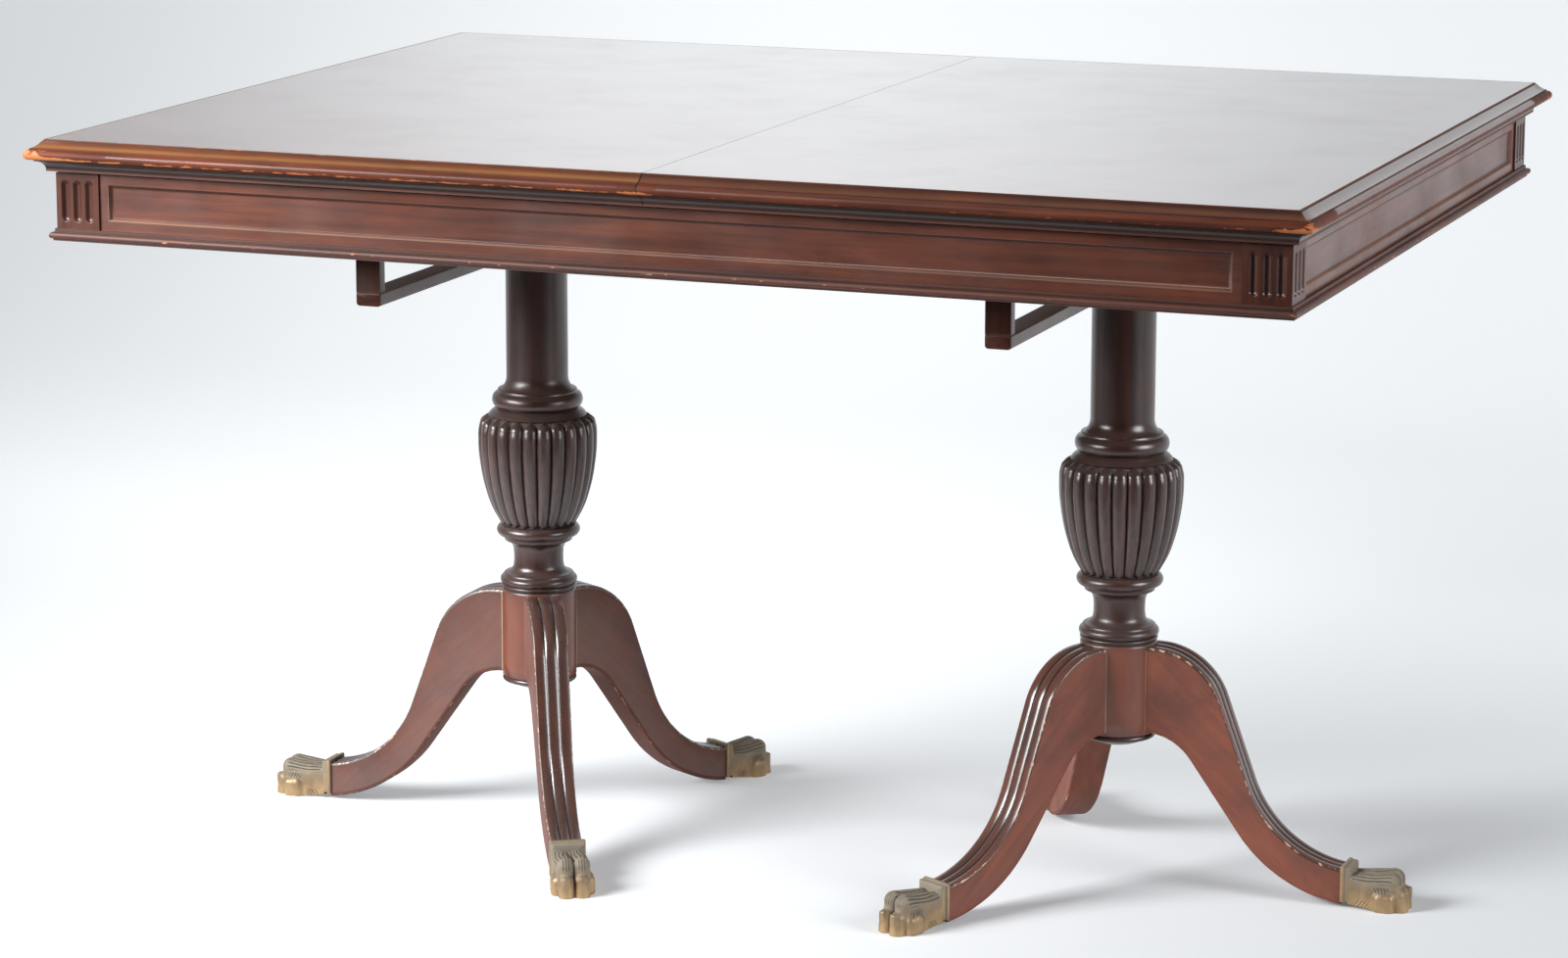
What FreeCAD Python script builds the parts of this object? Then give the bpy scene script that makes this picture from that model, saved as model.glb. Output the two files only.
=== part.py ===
"""Double pedestal extending dining table with reeded urn columns and paw feet.

Frame: millimetres, +Z up, +X along the table's length, +Y towards the rear.
The origin is on the floor, under the middle of the top.

The two halves of the top slide apart along X over a fixed apron frame.  Each half
hangs on two wooden runners that slide in grooved guides, and the guides lie on two
bearers, one on the head of each column.  Under the frame a rack of four rails and
four posts holds a spare leaf.
"""
import FreeCAD
import Part
import Sketcher
import math
import os

SIZES = {
    # Overall
    "table_height": 762.0,
    "top_length": 1256.0,
    "top_width": 986.0,
    "column_spacing": 628.0,
    # Top boards and their moulded edge
    "board_thickness": 19.0,
    "seam_gap": 0.6,
    "flat_margin": 15.0,
    "edge_step": 1.2,
    "edge_cove_radius": 16.0,
    "quirk_height": 1.0,
    "nosing_radius": 5.0,
    # Pins that line the two halves up
    "pin_diameter": 10.0,
    "pin_length": 40.0,
    "pin_spacing": 330.0,
    "pin_play": 0.3,
    # Bed moulding under the edge of the top
    "bed_setback": 7.5,
    "bed_height": 11.5,
    "bed_width": 34.0,
    "bed_fillet": 1.5,
    # Apron rails with a sunk panel
    "apron_gap": 2.0,
    "apron_setback": 22.5,
    "apron_height": 53.5,
    "rail_thickness": 22.0,
    "panel_margin": 10.0,
    "panel_depth": 3.0,
    "apron_tenon_length": 14.0,
    "apron_tenon_thickness": 9.0,
    "apron_tenon_shoulder": 8.0,
    # Fluted corner blocks
    "block_width": 45.5,
    "block_proud": 2.0,
    "flute_width": 8.0,
    "flute_depth": 2.6,
    "flute_spacing": 12.5,
    "flute_margin": 7.0,
    # Base moulding under the apron
    "base_height": 11.5,
    "base_width": 30.0,
    "base_projection": 6.0,
    "base_ledge": 1.5,
    "base_bead_radius": 3.2,
    "base_bead_rise": 1.8,
    # Bearers across the column heads
    "bearer_width": 90.0,
    "bearer_thickness": 30.0,
    "bearer_housing": 6.0,
    # Guides and runners
    "leaf_width": 305.0,
    "slide_offset": 250.0,
    "slide_play": 0.3,
    "guide_width": 32.0,
    "guide_drop": 1.0,
    "guide_height": 30.0,
    "tongue_depth": 8.0,
    "tongue_height": 9.0,
    "runner_width": 26.0,
    "runner_height": 29.0,
    "runner_overlap": 230.0,
    "runner_relief": 1.5,
    "runner_stop_gap": 0.5,
    # Column, from the head down
    "head_tenon_diameter": 44.0,
    "shaft_radius": 31.8,
    "shaft_foot_height": 470.0,
    "shaft_flare": 5.2,
    "collar_height": 447.5,
    "collar_radius": 46.8,
    "collar_half_height": 8.0,
    "collar_fillet": 3.0,
    "urn_neck_radius": 41.5,
    "urn_top_height": 436.0,
    "urn_top_radius": 46.5,
    "urn_shoulder_height": 429.0,
    "urn_shoulder_radius": 55.7,
    "urn_crest_height": 420.0,
    "urn_crest_radius": 60.5,
    "urn_belly_height": 406.0,
    "urn_belly_radius": 61.6,
    "urn_body_height": 380.0,
    "urn_body_radius": 59.5,
    "urn_waist_height": 354.0,
    "urn_waist_radius": 54.3,
    "urn_calf_height": 334.0,
    "urn_calf_radius": 47.5,
    "urn_foot_height": 318.0,
    "urn_foot_radius": 39.0,
    "urn_core_inset": 5.0,
    "reed_count": 24,
    "reed_fullness": 1.2,
    "ring_height": 310.5,
    "ring_radius": 43.3,
    "ring_half_height": 6.5,
    "ring_fillet": 4.5,
    "neck_radius": 25.6,
    "neck_cove": 10.0,
    "base_ring_height": 257.0,
    "base_ring_radius": 40.0,
    "base_ring_half_height": 5.0,
    "hub_radius": 38.5,
    "hub_bottom": 156.0,
    "turned_quirk": 2.0,
    # Turned button under the hub
    "button_height": 15.0,
    "button_bead_radius": 38.0,
    "button_bead_height": 6.0,
    "button_bead_ease": 1.8,
    "button_dish_radius": 33.0,
    "button_tip_radius": 14.0,
    "button_spigot_diameter": 20.0,
    "button_spigot_length": 16.0,
    # Sabre legs
    "leg_root_width": 38.0,
    "leg_foot_width": 31.0,
    "leg_root_top": 246.5,
    "leg_root_bottom": 159.0,
    "leg_hump_start": 40.0,
    "leg_hump_radius": 74.0,
    "leg_upper_lean": 70.0,
    "leg_upper_run": 87.0,
    "leg_upper_sweep": 118.0,
    "leg_lower_start": 34.5,
    "leg_lower_turn": 56.0,
    "leg_lower_lean": 54.5,
    "leg_lower_run": 87.0,
    "leg_lower_sweep": 150.0,
    "leg_end": 236.0,
    "leg_tenon_width": 14.0,
    "leg_tenon_depth": 13.0,
    "leg_tenon_shoulder": 8.0,
    "reed_groove_width": 5.0,
    "reed_groove_depth": 2.4,
    "reed_groove_offset": 5.6,
    # Cast paw feet
    "paw_tip": 303.0,
    "paw_collar_length": 9.0,
    "paw_collar_lip": 2.8,
    "paw_collar_low": 7.0,
    "paw_collar_high": 42.5,
    "paw_heel_width": 33.0,
    "paw_heel_rise": 5.4,
    "paw_sole_start": 276.0,
    "paw_instep_height": 38.5,
    "paw_knuckle_height": 40.5,
    "paw_side_height": 29.0,
    "paw_toe_width": 44.0,
    "paw_toe_length": 12.0,
    "paw_toe_height": 30.0,
    "paw_nail_height": 11.0,
    "paw_tip_undercut": 4.0,
    "paw_socket_length": 18.0,
    "paw_socket_width": 23.0,
    "paw_socket_low": 11.0,
    "paw_socket_high": 33.0,
    "toe_bulge": 4.5,
    "toe_set_back": 10.0,
    "side_toe_radius": 9.0,
    "toe_notch_width": 4.0,
    "toe_notch_depth": 6.0,
    # Leaf rack
    "rack_width": 25.0,
    "rack_rail_height": 12.5,
    "rack_rail_bottom": 607.0,
    "rack_reach": 398.0,
    "rack_post_thickness": 12.0,
    "rack_edge_radius": 3.0,
    "rack_housing": 6.0,
    # Fits
    "joint_play": 0.2,
    "cut_margin": 2.0,
}

URN_LEVELS = ("foot", "calf", "waist", "body", "belly", "crest", "shoulder", "top")
LEG_ANGLES = {"outer": 0, "front": -120, "rear": 120}

doc = FreeCAD.newDocument("double_pedestal_table")
sheet = doc.addObject("Spreadsheet::Sheet", "sizes")
for row, (alias, value) in enumerate(SIZES.items(), start=1):
    sheet.set(f"A{row}", alias)
    sheet.set(f"B{row}", str(value))
    sheet.setAlias(f"B{row}", alias)
doc.recompute()


class Size:
    """A length that carries both its value and its spreadsheet formula."""

    def __init__(self, value, text):
        self.value = float(value)
        self.text = text

    def __add__(self, other):
        return Size(self.value + value_of(other), f"({self.text} + {text_of(other)})")

    def __radd__(self, other):
        return self + other

    def __sub__(self, other):
        return Size(self.value - value_of(other), f"({self.text} - {text_of(other)})")

    def __rsub__(self, other):
        return Size(value_of(other) - self.value, f"({text_of(other)} - {self.text})")

    def __mul__(self, other):
        return Size(self.value * value_of(other), f"({self.text} * {text_of(other)})")

    def __rmul__(self, other):
        return self * other

    def __truediv__(self, other):
        return Size(self.value / value_of(other), f"({self.text} / {text_of(other)})")

    def __rtruediv__(self, other):
        return Size(value_of(other) / self.value, f"({text_of(other)} / {self.text})")

    def __neg__(self):
        return Size(-self.value, f"(-1 * {self.text})")


def value_of(size):
    return size.value if isinstance(size, Size) else float(size)


def text_of(size):
    return size.text if isinstance(size, Size) else repr(float(size))


def sine(angle):
    return Size(math.sin(math.radians(value_of(angle))), f"sin({text_of(angle)} * 1 deg)")


def cosine(angle):
    return Size(math.cos(math.radians(value_of(angle))), f"cos({text_of(angle)} * 1 deg)")


def root(size):
    return Size(math.sqrt(size.value), f"sqrt({size.text})")


def size(alias):
    return Size(getattr(sheet, alias), f"sizes.{alias}")


def bind(thing, prop, amount):
    """Set a property from a size, and tie it to the sheet when it came from there."""
    if isinstance(amount, Size):
        thing.setExpression(prop, amount.text)


# Features shared by many pieces

def new_body(label):
    body = doc.addObject("PartDesign::Body", label)
    body.Label = label
    return body


def new_sketch(body, role, shift=(0, 0, 0)):
    """An empty sketch on one of the body's own planes, moved by shift in that plane's axes."""
    plane = [item for item in body.Origin.OriginFeatures if item.Role == role][0]
    sketch = body.newObject("Sketcher::SketchObject", f"{body.Name}_outline")
    sketch.AttachmentSupport = [(plane, "")]
    sketch.MapMode = "FlatFace"
    sketch.AttachmentOffset = FreeCAD.Placement(
        FreeCAD.Vector(*[value_of(amount) for amount in shift]), FreeCAD.Rotation())
    for axis, amount in zip("xyz", shift):
        bind(sketch, f"AttachmentOffset.Base.{axis}", amount)
    return sketch


def arc_between(start, end, radius):
    """The arc from start to end, and whether it runs backwards.

    A positive radius has its centre on the left of the way from start to end.
    """
    along = end - start
    chord = along.Length
    left = FreeCAD.Vector(-along.y, along.x, 0) / chord
    rise = math.sqrt(max(radius * radius - chord * chord / 4, 0.0))
    centre = (start + end) / 2 + left * math.copysign(rise, radius)
    circle = Part.Circle(centre, FreeCAD.Vector(0, 0, 1), abs(radius))
    angles = [math.atan2(point.y - centre.y, point.x - centre.x) for point in (start, end)]
    backwards = radius < 0
    if backwards:
        angles.reverse()
    return Part.ArcOfCircle(circle, *angles), backwards


def spot_rules(edge, end, point):
    """Constraints that hold one end of an edge at a point, each with the size that drives it."""
    return [(Sketcher.Constraint(kind, -1, 1, edge, end, value_of(amount)), amount)
            for kind, amount in zip(("DistanceX", "DistanceY"), point)]


def radius_rule(edge, radius):
    positive = radius if value_of(radius) > 0 else -radius
    return Sketcher.Constraint("Radius", edge, value_of(positive)), positive


def add_rules(sketch, rules):
    """Add all constraints at once, then tie those with a size to the sheet."""
    sketch.addConstraint([rule for rule, amount in rules])
    for number, (rule, amount) in enumerate(rules):
        bind(sketch, f"Constraints[{number}]", amount)


def outline(body, role, points, shift=(0, 0, 0)):
    """A closed sketch through points (x, y) or (x, y, radius of the arc to the next point)."""
    sketch = new_sketch(body, role, shift)
    corners = [FreeCAD.Vector(value_of(point[0]), value_of(point[1]), 0) for point in points]
    radii = [point[2] if len(point) > 2 else None for point in points]
    count = len(points)
    first, last = [], []
    edges = []
    for index, radius in enumerate(radii):
        start, end = corners[index], corners[(index + 1) % count]
        if radius is None:
            edge, backwards = Part.LineSegment(start, end), False
        else:
            edge, backwards = arc_between(start, end, value_of(radius))
        edges.append(edge)
        first.append(2 if backwards else 1)
        last.append(1 if backwards else 2)
    sketch.addGeometry(edges, False)
    rules = []
    for index, point in enumerate(points):
        following = (index + 1) % count
        join = Sketcher.Constraint("Coincident", index, last[index], following, first[following])
        rules.append((join, None))
        rules += spot_rules(index, first[index], point)
        if radii[index] is not None:
            rules.append(radius_rule(index, radii[index]))
    add_rules(sketch, rules)
    return sketch


def rectangle(body, role, low, high, shift=(0, 0, 0)):
    corners = [low, (high[0], low[1]), high, (low[0], high[1])]
    return outline(body, role, corners, shift)


def circles(body, role, centres, radius, shift=(0, 0, 0)):
    """A sketch of equal circles."""
    sketch = new_sketch(body, role, shift)
    rules = []
    for index, centre in enumerate(centres):
        middle = FreeCAD.Vector(value_of(centre[0]), value_of(centre[1]), 0)
        sketch.addGeometry(Part.Circle(middle, FreeCAD.Vector(0, 0, 1), value_of(radius)), False)
        rules += spot_rules(index, 3, centre)
        rules.append(radius_rule(index, radius))
    add_rules(sketch, rules)
    return sketch


def pad(body, sketch, length, midplane=False, reverse=False):
    feature = body.newObject("PartDesign::Pad", f"{body.Name}_pad")
    feature.Profile = sketch
    feature.Length = value_of(length)
    bind(feature, "Length", length)
    feature.Midplane = midplane
    feature.Reversed = reverse
    return feature


def pocket(body, sketch, depth=None, midplane=False, reverse=False):
    """Cut the sketch to a depth, or right through when no depth is given."""
    feature = body.newObject("PartDesign::Pocket", f"{body.Name}_pocket")
    feature.Profile = sketch
    if depth is None:
        feature.Type = "ThroughAll"
    else:
        feature.Length = value_of(depth)
        bind(feature, "Length", depth)
    feature.Midplane = midplane
    feature.Reversed = reverse
    return feature


def turned(body, sketch):
    """Turn the sketch once round its own vertical axis."""
    feature = body.newObject("PartDesign::Revolution", f"{body.Name}_turned")
    feature.Profile = sketch
    feature.ReferenceAxis = (sketch, ["V_Axis"])
    feature.Angle = 360
    return feature


def repeat_round(body, features, count):
    """Repeat features evenly round the body's vertical axis."""
    axis = [item for item in body.Origin.OriginFeatures if item.Role == "Z_Axis"][0]
    pattern = body.newObject("PartDesign::PolarPattern", f"{body.Name}_round")
    pattern.Originals = features
    pattern.Axis = (axis, [""])
    pattern.Angle = 360
    pattern.Occurrences = count
    body.Tip = pattern
    return pattern


def place(thing, turn=0, base=(0, 0, 0)):
    """Turn a piece about the vertical axis and set it down at base."""
    thing.Placement = FreeCAD.Placement(
        FreeCAD.Vector(*[value_of(amount) for amount in base]),
        FreeCAD.Rotation(FreeCAD.Vector(0, 0, 1), turn))
    for axis, amount in zip("xyz", base):
        bind(thing, f"Placement.Base.{axis}", amount)


# Heights and places that several pieces share

half_length = size("top_length") / 2
half_width = size("top_width") / 2
half_gap = size("seam_gap") / 2
board_bottom = size("table_height") - size("board_thickness")
bed_bottom = board_bottom - size("bed_height")
apron_top = bed_bottom - size("apron_gap")
apron_bottom = apron_top - size("apron_height")
base_bottom = apron_bottom - size("base_height")
apron_half_length = half_length - size("apron_setback")
apron_half_width = half_width - size("apron_setback")
rail_inset = size("block_proud") + size("rail_thickness")
guide_top = board_bottom - size("guide_drop")
guide_bottom = guide_top - size("guide_height")
bearer_bottom = guide_bottom - size("bearer_thickness")
travel = size("leaf_width") / 2
guide_half_length = apron_half_length - rail_inset
runner_reach = guide_half_length - travel - size("runner_stop_gap")
tongue_bottom = guide_top - (size("guide_height") + size("tongue_height")) / 2
tongue_top = tongue_bottom + size("tongue_height")
column_x = size("column_spacing") / 2
rack_rail_top = size("rack_rail_bottom") + size("rack_rail_height")
play = size("joint_play")
margin = size("cut_margin")

pieces = []


def finished(piece):
    pieces.append(piece)
    return piece


# Top

def edge_profile(edge):
    """The moulded edge of a board, from the underside up to the flat, where edge is the tip."""
    radius = size("nosing_radius")
    step = size("edge_step")
    top = size("table_height")
    nosing_top = board_bottom + 2 * radius
    return [
        (edge - radius, board_bottom, radius),
        (edge, board_bottom + radius, radius),
        (edge - radius, nosing_top),
        (edge - radius, nosing_top + size("quirk_height"), -size("edge_cove_radius")),
        (edge - size("flat_margin") + step, top - step),
        (edge - size("flat_margin"), top - step),
        (edge - size("flat_margin"), top),
    ]


def mirrored_profile(edge):
    """The same edge on the other side, from the flat down to the underside."""
    near = edge_profile(edge)
    far = []
    for index in range(len(near) - 1, -1, -1):
        point = near[index]
        before = near[index - 1] if index else ()
        arc = before[2:]
        far.append((-point[0], point[1]) + tuple(arc))
    return far


def top_half(label, turn):
    """One half of the top: a board moulded on three edges and bored for the pins."""
    lengthwise = new_body(f"{label}_lengthwise")
    section = [(half_gap, board_bottom)] + edge_profile(half_length)
    section.append((half_gap, size("table_height")))
    pad(lengthwise, outline(lengthwise, "XZ_Plane", section), size("top_width"), midplane=True)
    pin_height = board_bottom + size("board_thickness") / 2
    centres = [(offset * size("pin_spacing"), pin_height) for offset in (-1, 0, 1)]
    bore = size("pin_diameter") / 2 + size("pin_play")
    holes = circles(lengthwise, "YZ_Plane", centres, bore)
    pocket(lengthwise, holes, size("pin_length") / 2 + margin, reverse=True)
    crosswise = new_body(f"{label}_crosswise")
    section = edge_profile(half_width) + mirrored_profile(half_width)
    pad(crosswise, outline(crosswise, "YZ_Plane", section), half_length)
    for body in (lengthwise, crosswise):
        place(body, turn)
    board = doc.addObject("Part::Common", label)
    board.Base = lengthwise
    board.Tool = crosswise
    board.Label = label
    return finished(board)


def seam_pins():
    """Three loose-fitting pins in the seam, glued into the right half."""
    pins = []
    for offset in (-1, 0, 1):
        pin = doc.addObject("Part::Cylinder", "pin")
        bind(pin, "Radius", size("pin_diameter") / 2)
        bind(pin, "Height", size("pin_length"))
        pin.Placement = FreeCAD.Placement(
            FreeCAD.Vector(), FreeCAD.Rotation(FreeCAD.Vector(0, 1, 0), 90))
        bind(pin, "Placement.Base.x", -size("pin_length") / 2)
        bind(pin, "Placement.Base.y", offset * size("pin_spacing"))
        bind(pin, "Placement.Base.z", board_bottom + size("board_thickness") / 2)
        pins.append(pin)
    group = doc.addObject("Part::Compound", "seam_pins")
    group.Links = pins
    group.Label = "seam_pins"
    return finished(group)


# Mouldings

def moulding_strip(label, section, width, length, mitres, turn, base):
    """A strip along X with its outer edge at y = 0, mitred at the ends that mitres names."""
    body = new_body(label)
    pad(body, outline(body, "YZ_Plane", section), length)
    low, high = -margin, width + margin
    if "start" in mitres:
        corner = [(low, low), (high, high), (low, high)]
        pocket(body, outline(body, "XY_Plane", corner), midplane=True)
    if "end" in mitres:
        corner = [(length - low, low), (length - low, high), (length - high, high)]
        pocket(body, outline(body, "XY_Plane", corner), midplane=True)
    place(body, turn, base)
    return finished(body)


def bed_mouldings():
    """The cove under the edge of the top, three strips to each half."""
    fillet = size("bed_fillet")
    height = size("bed_height")
    width = size("bed_width")
    cove = height - 2 * fillet
    section = [(cove, 0), (width, 0), (width, height), (0, height), (0, height - fillet, -cove),
               (cove, fillet)]
    x = half_length - size("bed_setback")
    y = half_width - size("bed_setback")
    along = x - half_gap
    across = 2 * y
    strips = (
        ("bed_moulding_right_front", along, ("end",), 0, (half_gap, -y)),
        ("bed_moulding_right_end", across, ("start", "end"), 90, (x, -y)),
        ("bed_moulding_right_rear", along, ("start",), 180, (x, y)),
        ("bed_moulding_left_rear", along, ("end",), 180, (-half_gap, y)),
        ("bed_moulding_left_end", across, ("start", "end"), 270, (-x, y)),
        ("bed_moulding_left_front", along, ("start",), 0, (-x, -y)),
    )
    for label, length, mitres, turn, (base_x, base_y) in strips:
        moulding_strip(label, section, width, length, mitres, turn, (base_x, base_y, bed_bottom))


def base_mouldings():
    """The bead and ledge under the apron, mitred at the four corners."""
    bead = size("base_bead_radius")
    rise = size("base_bead_rise")
    height = size("base_height")
    width = size("base_width")
    ledge = size("base_projection") - size("base_ledge")
    section = [(bead, 0), (width, 0), (width, height), (ledge, height), (ledge, rise + 2 * bead),
               (bead, rise + 2 * bead, bead), (0, rise + bead, bead), (bead, rise)]
    x = apron_half_length + size("base_projection")
    y = apron_half_width + size("base_projection")
    strips = (
        ("base_moulding_front", 2 * x, 0, (-x, -y)),
        ("base_moulding_right", 2 * y, 90, (x, -y)),
        ("base_moulding_rear", 2 * x, 180, (x, y)),
        ("base_moulding_left", 2 * y, 270, (-x, y)),
    )
    for label, length, turn, (base_x, base_y) in strips:
        base = (base_x, base_y, base_bottom)
        moulding_strip(label, section, width, length, ("start", "end"), turn, base)


# Apron frame

def apron_rail(label, length, turn, base, with_bearers):
    """A rail with a sunk panel outside and a tenon at each end."""
    body = new_body(label)
    height = size("apron_height")
    thickness = size("rail_thickness")
    pad(body, rectangle(body, "XY_Plane", (0, 0), (length, thickness)), height)
    reach = size("apron_tenon_length")
    half = size("apron_tenon_thickness") / 2
    shoulder = size("apron_tenon_shoulder")
    tenon = rectangle(body, "XY_Plane", (-reach, thickness / 2 - half),
                      (length + reach, thickness / 2 + half), (0, 0, shoulder))
    pad(body, tenon, height - 2 * shoulder)
    frame = size("panel_margin")
    panel = rectangle(body, "XZ_Plane", (frame, frame), (length - frame, height - frame))
    pocket(body, panel, size("panel_depth"))
    if with_bearers:
        half = size("bearer_width") / 2 + play
        low = bearer_bottom - apron_bottom - play
        for side in (-1, 1):
            middle = length / 2 + side * column_x
            housing = rectangle(body, "XY_Plane", (middle - half, thickness - size("bearer_housing")),
                                (middle + half, thickness + margin), (0, 0, low))
            pocket(body, housing, size("bearer_thickness") + 2 * play, reverse=True)
    place(body, turn, base)
    return finished(body)


def apron_rails():
    proud = size("block_proud")
    along = apron_half_length - size("block_width")
    across = apron_half_width - size("block_width")
    x = apron_half_length - proud
    y = apron_half_width - proud
    apron_rail("apron_rail_front", 2 * along, 0, (-along, -y, apron_bottom), True)
    apron_rail("apron_rail_right", 2 * across, 90, (x, -across, apron_bottom), False)
    apron_rail("apron_rail_rear", 2 * along, 180, (along, y, apron_bottom), True)
    apron_rail("apron_rail_left", 2 * across, 270, (-x, across, apron_bottom), False)


def corner_block(label, turn, base):
    """A square block with three stopped flutes on both outer faces and two mortises inside."""
    body = new_body(label)
    width = size("block_width")
    height = size("apron_height")
    pad(body, rectangle(body, "XY_Plane", (0, 0), (width, width)), height)
    middle = size("block_proud") + size("rail_thickness") / 2
    half = size("apron_tenon_thickness") / 2 + play
    deep = width - size("apron_tenon_length") - play
    low = size("apron_tenon_shoulder") - play
    tall = height - 2 * low
    for first, second in (((deep, middle - half), (width + margin, middle + half)),
                          ((middle - half, deep), (middle + half, width + margin))):
        mortise = rectangle(body, "XY_Plane", first, second, (0, 0, low))
        pocket(body, mortise, tall, reverse=True)
    # Stopped flutes: slices of round rods whose axes lie outside the two outer faces
    breadth = size("flute_width")
    depth = size("flute_depth")
    rod = (breadth * breadth / 4 + depth * depth) / (2 * depth)
    along = [width / 2 + step * size("flute_spacing") for step in (-1, 0, 1)]
    stop = size("flute_margin")
    for centres in ([(x, depth - rod) for x in along], [(depth - rod, y) for y in along]):
        rods = circles(body, "XY_Plane", centres, rod, (0, 0, stop))
        pocket(body, rods, height - 2 * stop, reverse=True)
    place(body, turn, base)
    return finished(body)


def corner_blocks():
    x, y = apron_half_length, apron_half_width
    corner_block("corner_block_front_left", 0, (-x, -y, apron_bottom))
    corner_block("corner_block_front_right", 90, (x, -y, apron_bottom))
    corner_block("corner_block_rear_right", 180, (x, y, apron_bottom))
    corner_block("corner_block_rear_left", 270, (-x, y, apron_bottom))


# Bearers and slides

def bearer(label, side):
    """A flat beam across the frame, bored for the column's head tenon."""
    body = new_body(label)
    half = size("bearer_width") / 2
    reach = apron_half_width - rail_inset + size("bearer_housing") - play
    pad(body, rectangle(body, "XY_Plane", (-half, -reach), (half, reach)), size("bearer_thickness"))
    hole = circles(body, "XY_Plane", [(0, 0)], size("head_tenon_diameter") / 2 + play)
    pocket(body, hole, midplane=True)
    place(body, 0, (side * column_x, 0, bearer_bottom))
    return finished(body)


def guide(label, side):
    """A fixed beam grooved on both sides for the runners' tongues."""
    body = new_body(label)
    half = size("guide_width") / 2
    slide = size("slide_play")
    floor = half - size("tongue_depth") - slide
    low, high = tongue_bottom - slide, tongue_top + slide
    section = [(-half, guide_bottom), (half, guide_bottom), (half, low), (floor, low), (floor, high),
               (half, high), (half, guide_top), (-half, guide_top), (-half, high), (-floor, high),
               (-floor, low), (-half, low)]
    pad(body, outline(body, "YZ_Plane", section), 2 * guide_half_length, midplane=True)
    place(body, 0, (0, side * size("slide_offset"), 0))
    return finished(body)


def runner(label, side, turn, offset):
    """A runner for the right half; turned half round it serves the left half.

    side is where its tongue points along Y, and offset is the face beside the guide.
    """
    body = new_body(label)
    bottom = board_bottom - size("runner_height")
    face = -side * size("slide_play")
    section = [(face - side * size("runner_width"), bottom), (face, bottom), (face, tongue_bottom),
               (face + side * size("tongue_depth"), tongue_bottom),
               (face + side * size("tongue_depth"), tongue_top), (face, tongue_top),
               (face, board_bottom), (face - side * size("runner_width"), board_bottom)]
    overlap = size("runner_overlap")
    start = (0, 0, -overlap)
    pad(body, outline(body, "YZ_Plane", section, start), overlap + runner_reach)
    relief = rectangle(body, "XZ_Plane", (-overlap - margin, board_bottom - size("runner_relief")),
                       (margin, board_bottom + margin))
    pocket(body, relief, midplane=True)
    place(body, turn, (0, offset, 0))
    return finished(body)


def slides():
    middle = size("slide_offset")
    half = size("guide_width") / 2
    guide("slide_guide_front", -1)
    guide("slide_guide_rear", 1)
    runner("right_runner_front", -1, 0, half - middle)
    runner("right_runner_rear", 1, 0, middle - half)
    runner("left_runner_front", -1, 180, -middle - half)
    runner("left_runner_rear", 1, 180, middle + half)


# Columns

def turned_ring(name, below, above):
    """The outline of a turned ring: its foot at radius below, two bevelled edges, its top at above."""
    height = size(f"{name}_height")
    radius = size(f"{name}_radius")
    half = size(f"{name}_half_height")
    band = half / 2
    return [(below, height - half), (radius, height - band), (radius, height + band),
            (above, height + half)]


def cove_radius(across, along):
    """Radius of an arc that sets out along the axis and ends this far across and along."""
    return (across * across + along * along) / (2 * across)


def column_profile():
    """The turned outline from the hub's centre up to the head tenon."""
    hub = size("hub_radius")
    hub_bottom = size("hub_bottom")
    quirk = size("turned_quirk")
    hub_top = size("base_ring_height") - size("base_ring_half_height")
    base_top = size("base_ring_height") + size("base_ring_half_height")
    neck = size("neck_radius")
    cove = size("neck_cove")
    ring_root = size("ring_radius") - size("ring_half_height")
    ring_bottom = size("ring_height") - size("ring_half_height")
    ring_foot = ring_bottom - size("ring_fillet")
    cove_top = ring_root - 2 * quirk
    cove_foot = hub - 2 * quirk
    inset = size("urn_core_inset")
    urn_neck = size("urn_neck_radius")
    collar_top = size("collar_height") + size("collar_half_height")
    shaft = size("shaft_radius")
    flare = shaft + size("shaft_flare")
    flare_foot = collar_top + size("collar_fillet")
    flare_top = size("shaft_foot_height")
    head = size("head_tenon_diameter") / 2
    head_top = guide_bottom - play
    return [
        (0, hub_bottom),
        (hub, hub_bottom),
        (hub, hub_top - quirk),
        (hub - quirk, hub_top - quirk),
    ] + turned_ring("base_ring", hub - quirk, hub - quirk) + [
        (cove_foot, base_top, -cove_radius(cove_foot - neck, cove)),
        (neck, base_top + cove),
        (neck, ring_foot - cove, -cove_radius(cove_top - neck, cove)),
        (cove_top, ring_foot),
        (ring_root - quirk, ring_foot),
        (ring_root - quirk, ring_bottom),
    ] + turned_ring("ring", ring_root, ring_root) + [
        (size("urn_foot_radius") - inset, size("urn_foot_height")),
        (size("urn_waist_radius") - inset, size("urn_waist_height")),
        (size("urn_crest_radius") - inset, size("urn_crest_height")),
        (urn_neck, size("urn_top_height")),
    ] + turned_ring("collar", urn_neck, flare + quirk) + [
        (flare, collar_top),
        (flare, flare_foot, -cove_radius(size("shaft_flare"), flare_top - flare_foot)),
        (shaft, flare_top),
        (shaft, bearer_bottom),
        (head, bearer_bottom),
        (head, head_top),
        (0, head_top),
    ]


def reeded_section(body, height, radius):
    """A level section of the urn: one arc to each reed, meeting in sharp valleys."""
    count = int(sheet.reed_count)
    step = 360 / size("reed_count")
    half_chord = sine(step / 2)
    fullness = size("reed_fullness")
    valley = radius / (cosine(step / 2) + half_chord * (fullness - root(fullness * fullness - 1)))
    reed = fullness * valley * half_chord
    points = [(valley * cosine(number * step), valley * sine(number * step), reed)
              for number in range(count)]
    return outline(body, "XY_Plane", points, (0, 0, height))


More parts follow.
